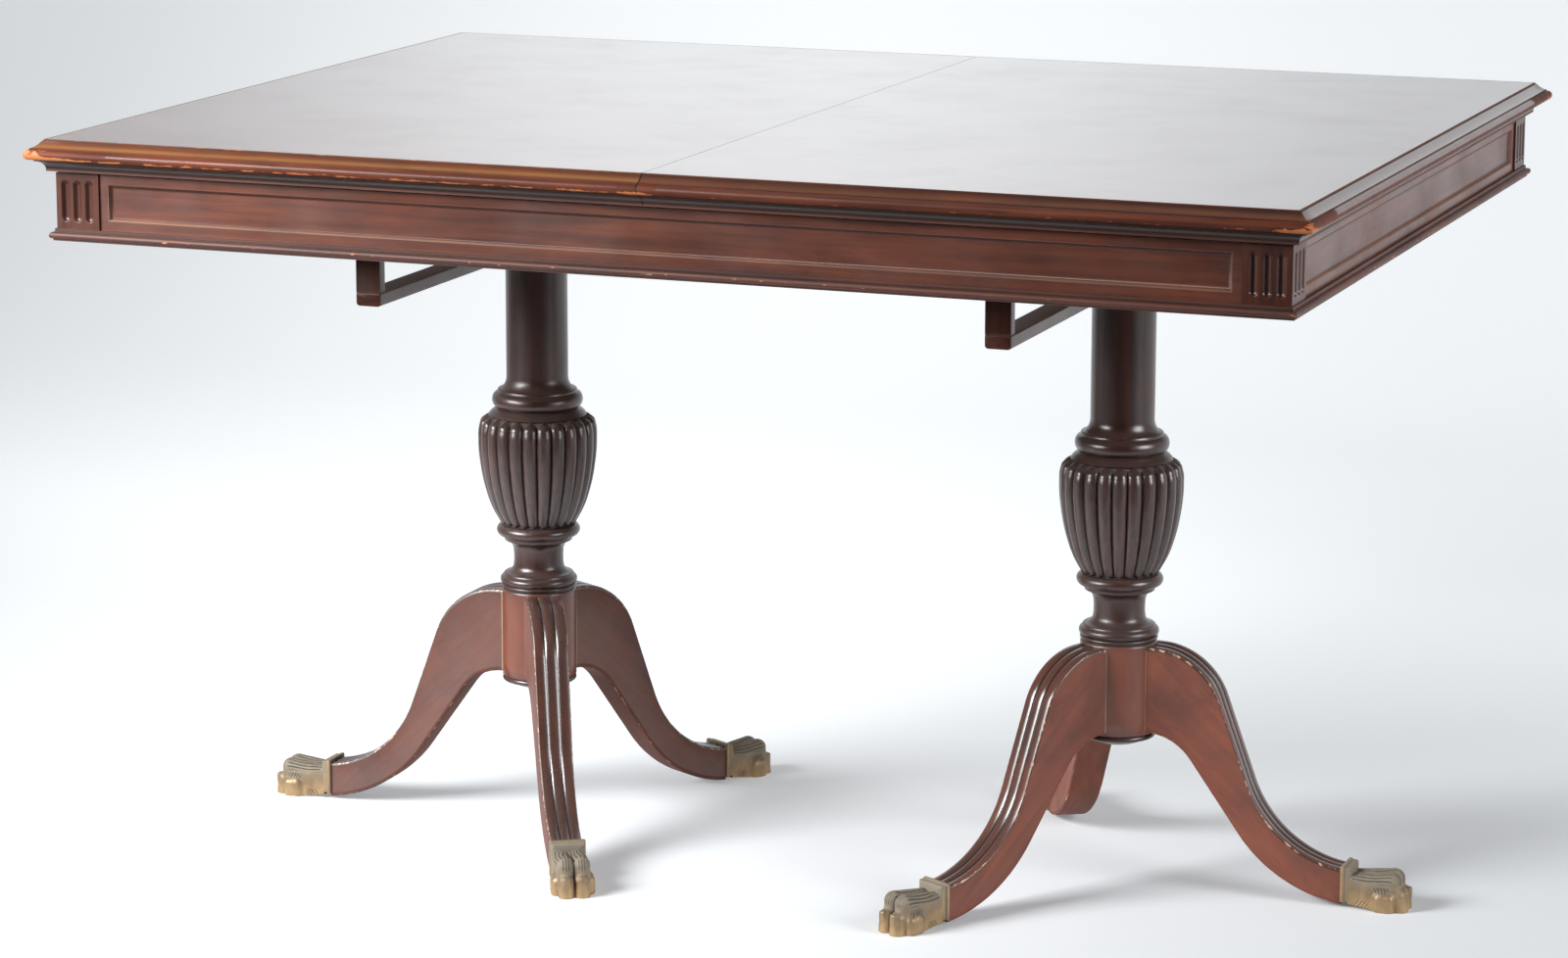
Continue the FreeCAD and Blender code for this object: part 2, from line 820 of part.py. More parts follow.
def reeded_urn(body):
    """The urn's reeds as one loft through the levels of the urn."""
    sections = [reeded_section(body, size(f"urn_{level}_height"), size(f"urn_{level}_radius"))
                for level in URN_LEVELS]
    urn = body.newObject("PartDesign::AdditiveLoft", f"{body.Name}_urn")
    urn.Profile = sections[0]
    urn.Sections = sections[1:]
    urn.Ruled = True


def column(label, side, turn):
    """The turned column: hub with leg sockets, reeded urn, shaft and head tenon in one piece."""
    body = new_body(label)
    turned(body, outline(body, "XZ_Plane", column_profile()))
    reeded_urn(body)
    # Sockets for the three legs: a flat for the shoulder and a mortise for the tenon
    seat = leg_seat()
    low, high = size("leg_root_bottom") - play, size("leg_root_top") + play
    half = size("leg_root_width") / 2 + play
    beyond = size("hub_radius") + margin
    flat = rectangle(body, "XY_Plane", (seat, -half), (beyond, half), (0, 0, low))
    flat_cut = pocket(body, flat, high - low, reverse=True)
    half = size("leg_tenon_width") / 2 + play
    shoulder = size("leg_tenon_shoulder")
    slot = rectangle(body, "XY_Plane", (seat - size("leg_tenon_depth") - play, -half),
                     (beyond, half), (0, 0, low + shoulder))
    slot_cut = pocket(body, slot, high - low - 2 * shoulder, reverse=True)
    repeat_round(body, [flat_cut, slot_cut], 3)
    # Housings for the leaf rack, in front and behind
    half = size("rack_width") / 2 + play
    floor = size("shaft_radius") - size("rack_housing") - play
    depth = size("rack_housing") + margin
    for face, reverse in ((floor, True), (-floor, False)):
        housing = rectangle(body, "XZ_Plane", (-half, size("rack_rail_bottom") - play),
                            (half, rack_rail_top + play), (0, 0, face))
        pocket(body, housing, depth, reverse=reverse)
    spigot = circles(body, "XY_Plane", [(0, 0)], size("button_spigot_diameter") / 2 + play,
                     (0, 0, size("hub_bottom")))
    pocket(body, spigot, size("button_spigot_length") + play, reverse=True)
    place(body, turn, (side * column_x, 0, 0))
    return finished(body)


def hub_button(label, side):
    """A turned button with a bead and a shallow dish below, on a spigot in the hub's underside."""
    body = new_body(label)
    top = size("hub_bottom")
    low = top - size("button_height")
    bead = size("button_bead_radius")
    ease = size("button_bead_ease")
    brim = top - size("button_bead_height")
    spigot = size("button_spigot_diameter") / 2
    spigot_top = top + size("button_spigot_length")
    section = [(0, low), (size("button_tip_radius"), low), (size("button_dish_radius"), brim),
               (bead - ease, brim), (bead, brim + ease), (bead, top - ease), (bead - ease, top),
               (spigot, top), (spigot, spigot_top), (0, spigot_top)]
    turned(body, outline(body, "XZ_Plane", section))
    place(body, 0, (side * column_x, 0, 0))
    return finished(body)


# Legs and feet

def leg_seat():
    """Distance from the column's axis to the flat that the leg's shoulder meets."""
    half = size("leg_root_width") / 2
    return root(size("hub_radius") * size("hub_radius") - half * half)


def sweep_end(centre, radius, x):
    """Height of the low side of a circle at x."""
    run = x - centre[0]
    return centre[1] - root(radius * radius - run * run)


def leg_upper_edge():
    """The leg's upper edge from the hub to the foot: level, hump, straight run and sweep."""
    lean = size("leg_upper_lean")
    hump = size("leg_hump_radius")
    sweep = size("leg_upper_sweep")
    run = size("leg_upper_run")
    start = (size("leg_hump_start"), size("leg_root_top"))
    over = (start[0] + hump * sine(lean), start[1] - hump * (1 - cosine(lean)))
    down = (over[0] + run * cosine(lean), over[1] - run * sine(lean))
    centre = (down[0] + sweep * sine(lean), down[1] + sweep * cosine(lean))
    end = (size("leg_end"), sweep_end(centre, sweep, size("leg_end")))
    return start, over, down, end


def leg_lower_edge():
    """The leg's lower edge from the hub to the foot: turn, straight run and sweep."""
    lean = size("leg_lower_lean")
    turn = size("leg_lower_turn")
    sweep = size("leg_lower_sweep")
    run = size("leg_lower_run")
    start = (size("leg_lower_start"), size("leg_root_bottom"))
    over = (start[0] + turn * sine(lean), start[1] - turn * (1 - cosine(lean)))
    down = (over[0] + run * cosine(lean), over[1] - run * sine(lean))
    centre = (down[0] + sweep * sine(lean), down[1] + sweep * cosine(lean))
    end = (size("leg_end"), sweep_end(centre, sweep, size("leg_end")))
    return start, over, down, end


def leg_side_outline():
    seat = leg_seat()
    upper = leg_upper_edge()
    lower = leg_lower_edge()
    return [
        (seat, size("leg_root_bottom")),
        lower[0] + (-size("leg_lower_turn"),),
        lower[1],
        lower[2] + (size("leg_lower_sweep"),),
        lower[3],
        upper[3] + (-size("leg_upper_sweep"),),
        upper[2],
        upper[1] + (size("leg_hump_radius"),),
        upper[0],
        (seat, size("leg_root_top")),
    ]


def open_path(body, role, points, shift=(0, 0, 0)):
    """An open sketch line through points, with arcs as in outline."""
    sketch = new_sketch(body, role, shift)
    corners = [FreeCAD.Vector(value_of(point[0]), value_of(point[1]), 0) for point in points]
    first, last = [], []
    for index, point in enumerate(points[:-1]):
        start, end = corners[index], corners[index + 1]
        if len(point) > 2:
            edge, backwards = arc_between(start, end, value_of(point[2]))
        else:
            edge, backwards = Part.LineSegment(start, end), False
        sketch.addGeometry(edge, False)
        first.append(2 if backwards else 1)
        last.append(1 if backwards else 2)
    rules = []
    for index in range(len(first) - 1):
        join = Sketcher.Constraint("Coincident", index, last[index], index + 1, first[index + 1])
        rules.append((join, None))
    ends = [(index, first[index]) for index in range(len(first))] + [(len(last) - 1, last[-1])]
    for (edge, end), point in zip(ends, points):
        rules += spot_rules(edge, end, point)
    for index, point in enumerate(points[:-1]):
        if len(point) > 2:
            rules.append(radius_rule(index, point[2]))
    add_rules(sketch, rules)
    return sketch


def leg(label, side, angle):
    """A sabre leg with three reeds along its upper face, tenoned to the hub and the paw."""
    body = new_body(label)
    root_width = size("leg_root_width")
    pad(body, outline(body, "XZ_Plane", leg_side_outline()), root_width, midplane=True)
    # Both sides taper towards the foot
    seat = leg_seat()
    end = size("leg_end")
    wide, narrow = root_width / 2, size("leg_foot_width") / 2
    for sign in (-1, 1):
        waste = [(seat, sign * wide), (end + margin, sign * narrow), (end + margin, sign * (wide + margin)),
                 (seat, sign * (wide + margin))]
        pocket(body, outline(body, "XY_Plane", waste), midplane=True)
    # Two tapered grooves leave three reeds
    upper = leg_upper_edge()
    half = size("reed_groove_width") / 2
    depth = size("reed_groove_depth")
    root_top = size("leg_root_top")
    path_points = [
        (seat, root_top),
        upper[0] + (-size("leg_hump_radius"),),
        upper[1],
        upper[2] + (size("leg_upper_sweep"),),
        upper[3],
    ]
    for sign in (-1, 1):
        offset = sign * size("reed_groove_offset")
        path = open_path(body, "XZ_Plane", path_points, (0, 0, -offset))
        wedge = [(offset, root_top - depth), (offset + 2 * half, root_top + depth),
                 (offset - 2 * half, root_top + depth)]
        tool = outline(body, "YZ_Plane", wedge, (0, 0, seat))
        doc.recompute()
        groove = body.newObject("PartDesign::SubtractivePipe", f"{label}_groove")
        groove.Profile = tool
        groove.Spine = path
        groove.Transition = "Transformed"
    # Tenons into the hub and the paw
    half = size("leg_tenon_width") / 2
    shoulder = size("leg_tenon_shoulder")
    tenon = rectangle(body, "XY_Plane", (seat - size("leg_tenon_depth"), -half), (seat + margin, half),
                      (0, 0, size("leg_root_bottom") + shoulder))
    pad(body, tenon, root_top - size("leg_root_bottom") - 2 * shoulder)
    half = size("paw_socket_width") / 2 - play
    spigot = rectangle(body, "YZ_Plane", (-half, size("paw_socket_low") + play),
                       (half, size("paw_socket_high") - play), (0, 0, end - margin))
    pad(body, spigot, size("paw_socket_length") + margin - play)
    place(body, angle, (side * column_x, 0, 0))
    return finished(body)


def paw_side_outline():
    """The foot seen from the side: sole, toes, knuckles and instep, from the heel round."""
    start = size("leg_end") + size("paw_collar_length")
    tip = size("paw_tip")
    knuckle = tip - size("paw_toe_length")
    instep = size("paw_instep_height")
    nail = size("paw_nail_height")
    rise = size("paw_knuckle_height") - instep
    toe_top = size("paw_toe_height")
    hump = 2 * size("paw_toe_length")
    return [
        (start, size("paw_heel_rise")),
        (size("paw_sole_start"), 0),
        (tip - size("paw_tip_undercut"), 0, nail),
        (tip, nail, hump),
        (knuckle, toe_top),
        (knuckle, toe_top + rise, hump),
        (knuckle - size("paw_toe_length"), instep + rise, -4 * hump),
        (start, instep + rise),
    ]


def paw_waste_outline():
    """Everything outside the foot seen from above, whose front edge is four round toes."""
    start = size("leg_end")
    tip = size("paw_tip")
    heel = size("paw_heel_width") / 2
    pitch = size("paw_toe_width") / 4
    bulge = size("toe_bulge")
    toe = (pitch * pitch / 4 + bulge * bulge) / (2 * bulge)
    front = tip - bulge
    back = front - size("toe_set_back")
    clear = 2 * pitch + margin
    return [
        (start, -heel),
        (size("paw_sole_start"), -2 * pitch),
        (back, -2 * pitch, size("side_toe_radius")),
        (front, -pitch, toe),
        (front, 0, toe),
        (front, pitch, size("side_toe_radius")),
        (back, 2 * pitch),
        (size("paw_sole_start"), 2 * pitch),
        (start, heel),
        (start, clear),
        (tip + margin, clear),
        (tip + margin, -clear),
        (start, -clear),
    ]


def paw_foot(label, side, angle):
    """A cast paw: a collar round the end of the leg, an instep and four toes."""
    body = new_body(label)
    end = size("leg_end")
    toes = size("paw_toe_width")
    side_view = outline(body, "XZ_Plane", paw_side_outline())
    pad(body, side_view, toes, midplane=True)
    pocket(body, outline(body, "XY_Plane", paw_waste_outline()), midplane=True)
    # The outer toes are lower than the inner ones, and notches part all four on top
    knuckle = size("paw_tip") - 2 * size("paw_toe_length")
    crown = size("paw_knuckle_height") + margin
    for sign in (-1, 1):
        slope = [(sign * toes / 4, crown), (sign * (toes / 2 + margin), size("paw_side_height")),
                 (sign * (toes / 2 + margin), crown)]
        pocket(body, outline(body, "YZ_Plane", slope, (0, 0, end)), reverse=True)
    half = size("toe_notch_width") / 2
    low = crown - margin - size("toe_notch_depth")
    for step in (-1, 0, 1):
        middle = step * toes / 4
        notch = [(middle, low), (middle + 2 * half, crown), (middle - 2 * half, crown)]
        pocket(body, outline(body, "YZ_Plane", notch, (0, 0, knuckle)), reverse=True)
    half = size("leg_foot_width") / 2 + size("paw_collar_lip")
    band = rectangle(body, "YZ_Plane", (-half, size("paw_collar_low")), (half, size("paw_collar_high")),
                     (0, 0, end))
    pad(body, band, size("paw_collar_length"))
    half = size("paw_socket_width") / 2
    socket = rectangle(body, "YZ_Plane", (-half, size("paw_socket_low")), (half, size("paw_socket_high")),
                       (0, 0, end))
    pocket(body, socket, size("paw_socket_length"), reverse=True)
    place(body, angle, (side * column_x, 0, 0))
    return finished(body)


def pedestals():
    for name, side, turn in (("left", -1, 180), ("right", 1, 0)):
        column(f"column_{name}", side, turn)
        hub_button(f"hub_button_{name}", side)
        for where, angle in LEG_ANGLES.items():
            facing = turn + angle if side > 0 else turn - angle
            leg(f"leg_{name}_{where}", side, facing)
            paw_foot(f"paw_foot_{name}_{where}", side, facing)


# Leaf rack

def rack_rail(label, side, turn):
    """A rail housed in the column, reaching out to the post, with eased lower edges."""
    body = new_body(label)
    half = size("rack_width") / 2
    low = size("rack_rail_bottom")
    ease = size("rack_edge_radius")
    section = [(-half + ease, low), (half - ease, low, ease), (half, low + ease), (half, rack_rail_top),
               (-half, rack_rail_top), (-half, low + ease, ease)]
    inner = size("shaft_radius") - size("rack_housing")
    pad(body, outline(body, "XZ_Plane", section, (0, 0, inner)), size("rack_reach") - inner)
    place(body, turn, (side * column_x, 0, 0))
    return finished(body)


def rack_post(label, side, turn):
    """A post from the end of a rack rail up to the bearer."""
    body = new_body(label)
    half = size("rack_width") / 2
    reach = size("rack_reach")
    foot = rectangle(body, "XY_Plane", (-half, -reach), (half, size("rack_post_thickness") - reach),
                     (0, 0, rack_rail_top))
    pad(body, foot, bearer_bottom - rack_rail_top)
    place(body, turn, (side * column_x, 0, 0))
    return finished(body)


def leaf_rack():
    for name, side in (("left", -1), ("right", 1)):
        for where, turn in (("front", 0), ("rear", 180)):
            rack_rail(f"rack_rail_{name}_{where}", side, turn)
            rack_post(f"rack_post_{name}_{where}", side, turn)


def build():
    top_half("top_half_right", 0)
    top_half("top_half_left", 180)
    seam_pins()
    bed_mouldings()
    base_mouldings()
    apron_rails()
    corner_blocks()
    bearer("bearer_left", -1)
    bearer("bearer_right", 1)
    slides()
    pedestals()
    leaf_rack()


def check_and_write():
    """Stop on any failed feature or broken solid, then write one file for each piece."""
    for thing in doc.Objects:
        if {"Invalid", "Error"} & set(thing.State):
            raise RuntimeError(f"{thing.Name} failed: {thing.State}")
    os.makedirs("parts", exist_ok=True)
    for piece in pieces:
        shape = piece.Shape
        if shape.isNull() or not shape.isValid() or not shape.Solids:
            raise RuntimeError(f"{piece.Label} is not a valid solid")
    for piece in pieces:
        piece.Shape.exportStep(os.path.join("parts", f"{piece.Label}.step"))


build()
doc.recompute()
check_and_write()
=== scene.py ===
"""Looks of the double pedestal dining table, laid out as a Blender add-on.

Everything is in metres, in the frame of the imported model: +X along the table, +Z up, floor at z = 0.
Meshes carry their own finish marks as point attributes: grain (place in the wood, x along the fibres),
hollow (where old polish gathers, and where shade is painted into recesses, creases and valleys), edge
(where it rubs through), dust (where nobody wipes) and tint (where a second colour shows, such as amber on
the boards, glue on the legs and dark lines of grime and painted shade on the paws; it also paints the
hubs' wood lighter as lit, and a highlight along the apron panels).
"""

import math

import bmesh
import bpy
import numpy as np
from bpy.props import FloatProperty, FloatVectorProperty, IntProperty, PointerProperty
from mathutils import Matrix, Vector


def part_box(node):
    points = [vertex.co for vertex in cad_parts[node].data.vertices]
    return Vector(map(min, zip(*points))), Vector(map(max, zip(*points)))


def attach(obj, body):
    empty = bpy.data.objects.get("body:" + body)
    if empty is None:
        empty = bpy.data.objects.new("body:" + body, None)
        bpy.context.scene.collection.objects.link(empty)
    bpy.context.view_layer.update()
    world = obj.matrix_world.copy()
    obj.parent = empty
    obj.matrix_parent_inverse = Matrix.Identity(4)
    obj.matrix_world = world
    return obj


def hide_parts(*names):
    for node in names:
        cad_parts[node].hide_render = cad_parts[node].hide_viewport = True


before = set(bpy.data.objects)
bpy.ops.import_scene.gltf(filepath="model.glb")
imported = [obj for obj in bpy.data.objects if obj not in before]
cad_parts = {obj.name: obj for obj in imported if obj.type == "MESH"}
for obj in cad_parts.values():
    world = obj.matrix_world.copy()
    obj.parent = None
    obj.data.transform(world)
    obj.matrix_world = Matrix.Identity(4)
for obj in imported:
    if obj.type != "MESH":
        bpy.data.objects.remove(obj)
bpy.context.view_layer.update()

bl_info = {
    "name": "Double pedestal dining table",
    "version": (1, 0, 0),
    "blender": (4, 5, 0),
    "location": "View3D > Sidebar > Dining Table",
    "description": "Boards, mouldings, reeded pedestals and paw feet over the packed table, with a stage",
    "category": "Object",
}

MM = 0.001
MARKS = ("hollow", "edge", "tint", "dust")
# Width of the camera's film in millimetres
FILM_WIDTH = 36.0
# Angle in degrees from which the edges of turned and carved pieces look sharp
CARVED_SHARP = 50.0
# Height of the hub's upper end; below it the column's wood is painted lighter and redder, as lit, while the
# shaft above is in shade
HUB_HEAD = 0.2483
# Which way each pedestal faces, and the turn of its outer leg and of each leg from there, in degrees
PEDESTALS = {"left": (-1, 180), "right": (1, 0)}
LEG_TURNS = {"outer": 0, "front": -120, "rear": 120}
# Edges of a leg in millimetres and degrees: where the arc over starts, its radius, how steep it gets,
# the straight run and the radius of the sweep to the foot
LEG_UPPER = {"start": 40.0, "turn": 74.0, "lean": 70.0, "run": 87.0, "sweep": 118.0}
LEG_LOWER = {"start": 34.5, "turn": 56.0, "lean": 54.5, "run": 87.0, "sweep": 150.0}


# Settings

def length(name, description, millimetres):
    """A length property, whose default is given in millimetres."""
    return FloatProperty(name=name, description=description, default=millimetres * MM,
                         subtype="DISTANCE", unit="LENGTH", precision=4)


def colour(name, description, value):
    """A colour property."""
    return FloatVectorProperty(name=name, description=description, default=value, size=3,
                               min=0.0, max=1.0, subtype="COLOR")


def angle(name, description, degrees):
    """An angle property, whose default is given in degrees."""
    return FloatProperty(name=name, description=description, default=math.radians(degrees), subtype="ANGLE")


def power(name, description, watts):
    """A property for the power of a lamp."""
    return FloatProperty(name=name, description=description, default=watts, min=0.0, unit="POWER")


def share(name, description, value):
    """A property between 0 and 1."""
    return FloatProperty(name=name, description=description, default=value, min=0.0, max=1.0,
                         subtype="FACTOR")


class TableFinish(bpy.types.PropertyGroup):
    """Colours and gloss of the wood and the brass."""
    wood_light: colour("Light wood", "Mahogany between the dark fibres", (0.175, 0.043, 0.018))
    wood_dark: colour("Dark wood", "Mahogany in the dark fibres", (0.052, 0.0135, 0.008))
    # Old polish in the hollows; the same colour paints shade into recesses
    wood_polish_and_shade: colour("Old polish", "Darkened polish in hollows", (0.017, 0.013, 0.012))
    wood_bare: colour("Bare wood", "Wood where the polish is chipped off", (0.5, 0.17, 0.062))
    wood_amber: colour("Amber edge", "Thin polish on the sloping edge of the top", (0.25, 0.105, 0.033))
    # The rubbed wood's colour also paints a highlight along the lower edges of the apron panels
    wood_rubbed: colour("Rubbed wood", "Pale wood on the rubbed edges of the legs", (0.52, 0.33, 0.20))
    # Hubs' wood, painted lighter and redder than the column's, as lit
    wood_hub_lit: colour("Hub wood", "Redder wood of the hubs between the legs", (0.34, 0.088, 0.04))
    # The dust colour also greys the sides that face up, as dust and as a painted sheen of reflected light
    dust: colour("Dust", "Dust in corners that nobody wipes", (0.205, 0.188, 0.178))
    glue: colour("Glue line", "Dusty glue at the leg joints", (0.34, 0.27, 0.185))
    inner_light: colour("Inner wood", "Unpolished wood of the slides", (0.36, 0.21, 0.115))
    inner_dark: colour("Inner wood fibres", "Dark fibres of the slides", (0.22, 0.115, 0.06))
    brass: colour("Brass", "Rubbed brass of the paws", (0.43, 0.29, 0.15))
    brass_aged: colour("Aged brass", "Brown brass that hands don't reach", (0.26, 0.178, 0.103))
    verdigris: colour("Verdigris", "Grey-green deposit in the hollows", (0.2, 0.183, 0.147))
    # Dark lines of grime and painted shade in the strokes and creases of the paws
    brass_grime_and_shade: colour("Dark lines", "Dirt in the strokes and creases of the paws", (0.05, 0.038, 0.026))
    coat_roughness: share("Coat roughness", "Roughness of the clear polish over the wood", 0.16)
    polish_ior: FloatProperty(name="Polish IOR", description="Refractive index of the polish", default=1.52,
                              min=1.0, max=2.5)


class TableSizes(bpy.types.PropertyGroup):
    """Sizes of the top, the mouldings and the apron."""
    flat_margin: length("Flat margin", "Width of the moulded edge round the flat", 15.0)
    edge_step: length("Edge step", "Fine step at the rim of the flat", 1.2)
    seam_slant: length("Seam slant", "How much tighter the seam is at the underside, on each half", 0.25)
    edge_cove: length("Edge cove", "Radius of the hollow slope", 16.0)
    quirk: length("Quirk", "Upright line over the nosing", 1.0)
    nosing: length("Nosing", "Radius of the rounded edge", 5.0)
    bed_fillet: length("Bed fillet", "Flat above and below the cove", 1.5)
    bead: length("Bead", "Radius of the bead under the apron", 3.2)
    bead_rise: length("Bead rise", "Height of the bead over the underside", 1.8)
    bead_ledge: length("Bead ledge", "Ledge between the bead and the apron", 4.5)
    panel_margin: length("Panel margin", "Frame round the sunk panel", 10.0)
    panel_depth: length("Panel depth", "Depth of the sunk panel", 3.0)
    panel_slope: length("Panel slope", "Width of the panel's sloping edge", 1.4)
    flute_width: length("Flute width", "Width of a flute on the corner blocks", 8.0)
    flute_depth: length("Flute depth", "Depth of a flute", 2.6)
    flute_spacing: length("Flute spacing", "Distance between flutes", 12.5)
    flute_margin: length("Flute margin", "Plain wood above and below a flute", 7.0)
    arris: length("Arris", "Rounding of sawn edges", 0.8)


class PedestalSizes(bpy.types.PropertyGroup):
    """Sizes of the columns and the legs."""
    shaft: length("Shaft radius", "Radius of the plain shaft", 31.8)
    collar: length("Collar radius", "Radius of the ring under the shaft", 46.8)
    belly: length("Belly radius", "Largest radius of the urn", 61.6)
    neck: length("Neck radius", "Smallest radius under the urn", 25.6)
    hub: length("Hub radius", "Radius of the hub that carries the legs", 38.5)
    reeds: IntProperty(name="Reeds", description="Reeds round the urn", default=24, min=8, max=60)
    reed_depth: length("Reed depth", "Depth of the valleys between the reeds", 6.0)
    leg_root: length("Leg root width", "Width of a leg at the hub", 38.0)
    leg_foot: length("Leg foot width", "Width of a leg at the paw", 31.0)
    leg_top: length("Leg top", "Height of a leg at the hub", 246.5)
    leg_bottom: length("Leg bottom", "Height of a leg's underside at the hub", 159.0)
    leg_end: length("Leg end", "Distance from the column's axis to the paw", 236.0)
    leg_reed_depth: length("Leg reed depth", "Depth of the hollows between a leg's reeds", 3.4)


class StageSettings(bpy.types.PropertyGroup):
    """Camera, lights and floor."""
    camera_place: FloatVectorProperty(name="Camera place", description="Where the camera stands",
                                      default=(1.6528, -4.4896, 1.385), size=3, subtype="XYZ",
                                      unit="LENGTH")
    camera_azimuth: angle("Camera azimuth", "Turn of the camera to the right", 20.712)
    camera_elevation: angle("Camera elevation", "Angle the camera looks down", 11.793)
    camera_roll: angle("Camera roll", "Tilt of the camera", -0.137)
    camera_lens: FloatProperty(name="Camera lens", description="Focal length in millimetres on a 36 mm film",
                               default=111.0, min=10.0, max=400.0, unit="CAMERA")
    # The paper also glows with painted light; the darker floor in front stands in for the unlit room, as
    # painted shade in reflections
    paper: colour("Paper", "Pale floor and backdrop", (0.64, 0.665, 0.69))
    floor: colour("Floor", "Darker floor in front of the paper", (0.12, 0.12, 0.12))
    left_power: power("Left power", "Power of the lamp on the left in watts", 38.0)
    right_power: power("Right power", "Power of the lamp on the right in watts", 36.0)


# Shapes

def arc(start, end, radius, steps):
    """Points after start on the arc to end; a positive radius has its centre on the left of the way."""
    start, end = np.array(start, float), np.array(end, float)
    along = end - start
    chord = np.hypot(*along)
    left = np.array((-along[1], along[0])) / chord
    rise = math.sqrt(max(radius * radius - chord * chord / 4, 0.0))
    centre = (start + end) / 2 + left * math.copysign(rise, radius)
    first = math.atan2(*(start - centre)[::-1])
    last = math.atan2(*(end - centre)[::-1])
    sweep = (last - first) % math.tau if radius > 0 else -((first - last) % math.tau)
    angles = first + sweep * np.arange(1, steps + 1) / steps
    return [tuple(centre + abs(radius) * np.array((math.cos(a), math.sin(a)))) for a in angles]


def grid_faces(rows, columns, closed=False):
    """Quads of a grid of points, numbered row by row; closed joins the last column to the first."""
    wide = columns if closed else columns - 1
    return [(row * columns + column, row * columns + (column + 1) % columns,
             (row + 1) * columns + (column + 1) % columns, (row + 1) * columns + column)
            for row in range(rows - 1) for column in range(wide)]


def tube_faces(rows, columns):
    """Quads of a tube of rings, with one face over each end."""
    last = (rows - 1) * columns
    ends = [tuple(range(columns)), tuple(range(last, last + columns))]
    return grid_faces(rows, columns, closed=True) + ends


class Skin:
    """Points of a mesh, each with its finish marks."""

    def __init__(self):
        self.points = []
        self.marks = {mark: [] for mark in MARKS}

    def add(self, point, **marks):
        self.points.append(point)
        for mark, values in self.marks.items():
            values.append(marks.get(mark, 0.0))


def build_mesh(name, points, faces, marks, sharp=35.0):
    """A smooth mesh with its finish marks; marks maps attribute names to one value for each point."""
    mesh = bpy.data.meshes.new(name)
    mesh.from_pydata([tuple(point) for point in points], [], faces)
    for mark, values in marks.items():
        values = np.asarray(values, np.float32)
        kind, field = ("FLOAT_VECTOR", "vector") if values.ndim == 2 else ("FLOAT", "value")
        mesh.attributes.new(mark, kind, "POINT").data.foreach_set(field, values.ravel())
    work = bmesh.new()
    work.from_mesh(mesh)
    bmesh.ops.recalc_face_normals(work, faces=work.faces)
    work.to_mesh(mesh)
    work.free()
    mesh.shade_smooth()
    mesh.set_sharp_from_angle(angle=math.radians(sharp))
    return mesh


def add_piece(name, mesh, body, slot, material, *nodes):
    """Put a mesh in the scene for the nodes that it stands for."""
    piece = bpy.data.objects.new(name, mesh)
    bpy.context.scene.collection.objects.link(piece)
    mesh.materials.append(material)
    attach(piece, body)
    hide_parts(*nodes)


# Finishes

class Nodes:
    """A node tree with short calls for the nodes used here."""

    def __init__(self, tree):
        self.tree = tree

    def feed(self, socket, value):
        """Link a socket, or set it when value is a plain number or colour."""
        if isinstance(value, bpy.types.NodeSocket):
            self.tree.links.new(value, socket)
        elif hasattr(value, "__len__") and len(socket.default_value) == 4 and len(value) == 3:
            socket.default_value = (*value, 1.0)
        else:
            socket.default_value = value

    def made(self, kind, sockets, output, **settings):
        """The output of a new node, whose sockets are fed by name or number."""
        node = self.tree.nodes.new(f"ShaderNode{kind}")
        for key, value in settings.items():
            setattr(node, key, value)
        for socket, value in sockets.items():
            self.feed(node.inputs[socket], value)
        return node.outputs[output]

    def mark(self, name, vector=False):
        return self.made("Attribute", {}, "Vector" if vector else "Fac", attribute_name=name)

    def place(self, kind="Object"):
        return self.made("TexCoord", {}, kind)

    def geometry(self, output):
        return self.made("NewGeometry", {}, output)

    def ray(self, output):
        return self.made("LightPath", {}, output)

    def part(self, vector, axis):
        return self.made("SeparateXYZ", {"Vector": vector}, axis)

    def noise(self, vector, scale, detail=4.0, rough=0.55, distort=0.0, stretch=None):
        """Cloudy noise; stretch multiplies the place along each axis first."""
        if stretch:
            vector = self.made("Mapping", {"Vector": vector, "Scale": stretch}, "Vector")
        return self.made("TexNoise", {"Vector": vector, "Scale": scale, "Detail": detail, "Roughness": rough,
                                      "Distortion": distort}, "Fac")

    def fit(self, value, low, high, to_low=0.0, to_high=1.0):
        """A smooth step from to_low at low to to_high at high."""
        return self.made("MapRange", {"Value": value, "From Min": low, "From Max": high, "To Min": to_low,
                                      "To Max": to_high}, "Result", interpolation_type="SMOOTHSTEP")

    def math(self, operation, *values):
        return self.made("Math", dict(enumerate(values)), "Value", operation=operation)

    def add(self, first, second):
        return self.math("ADD", first, second)

    def less(self, first, second):
        return self.math("SUBTRACT", first, second)

    def times(self, first, second):
        return self.math("MULTIPLY", first, second)

    def most(self, first, second):
        return self.math("MAXIMUM", first, second)

    def mix(self, amount, first, second):
        return self.made("Mix", {"Factor": amount, "A": first, "B": second}, "Result", data_type="RGBA")


class Shader(Nodes):
    """A new material's node tree with its surface shader."""

    def __init__(self, name):
        self.material = bpy.data.materials.new(name)
        self.material.use_nodes = True
        super().__init__(self.material.node_tree)
        self.surface = self.tree.nodes["Principled BSDF"]

    def give(self, socket, value):
        """Feed a socket of the surface shader."""
        self.feed(self.surface.inputs[socket], value)

    def bump(self, height, distance, strength):
        self.give("Normal", self.made("Bump", {"Strength": strength, "Distance": distance, "Height": height},
                                      "Normal"))


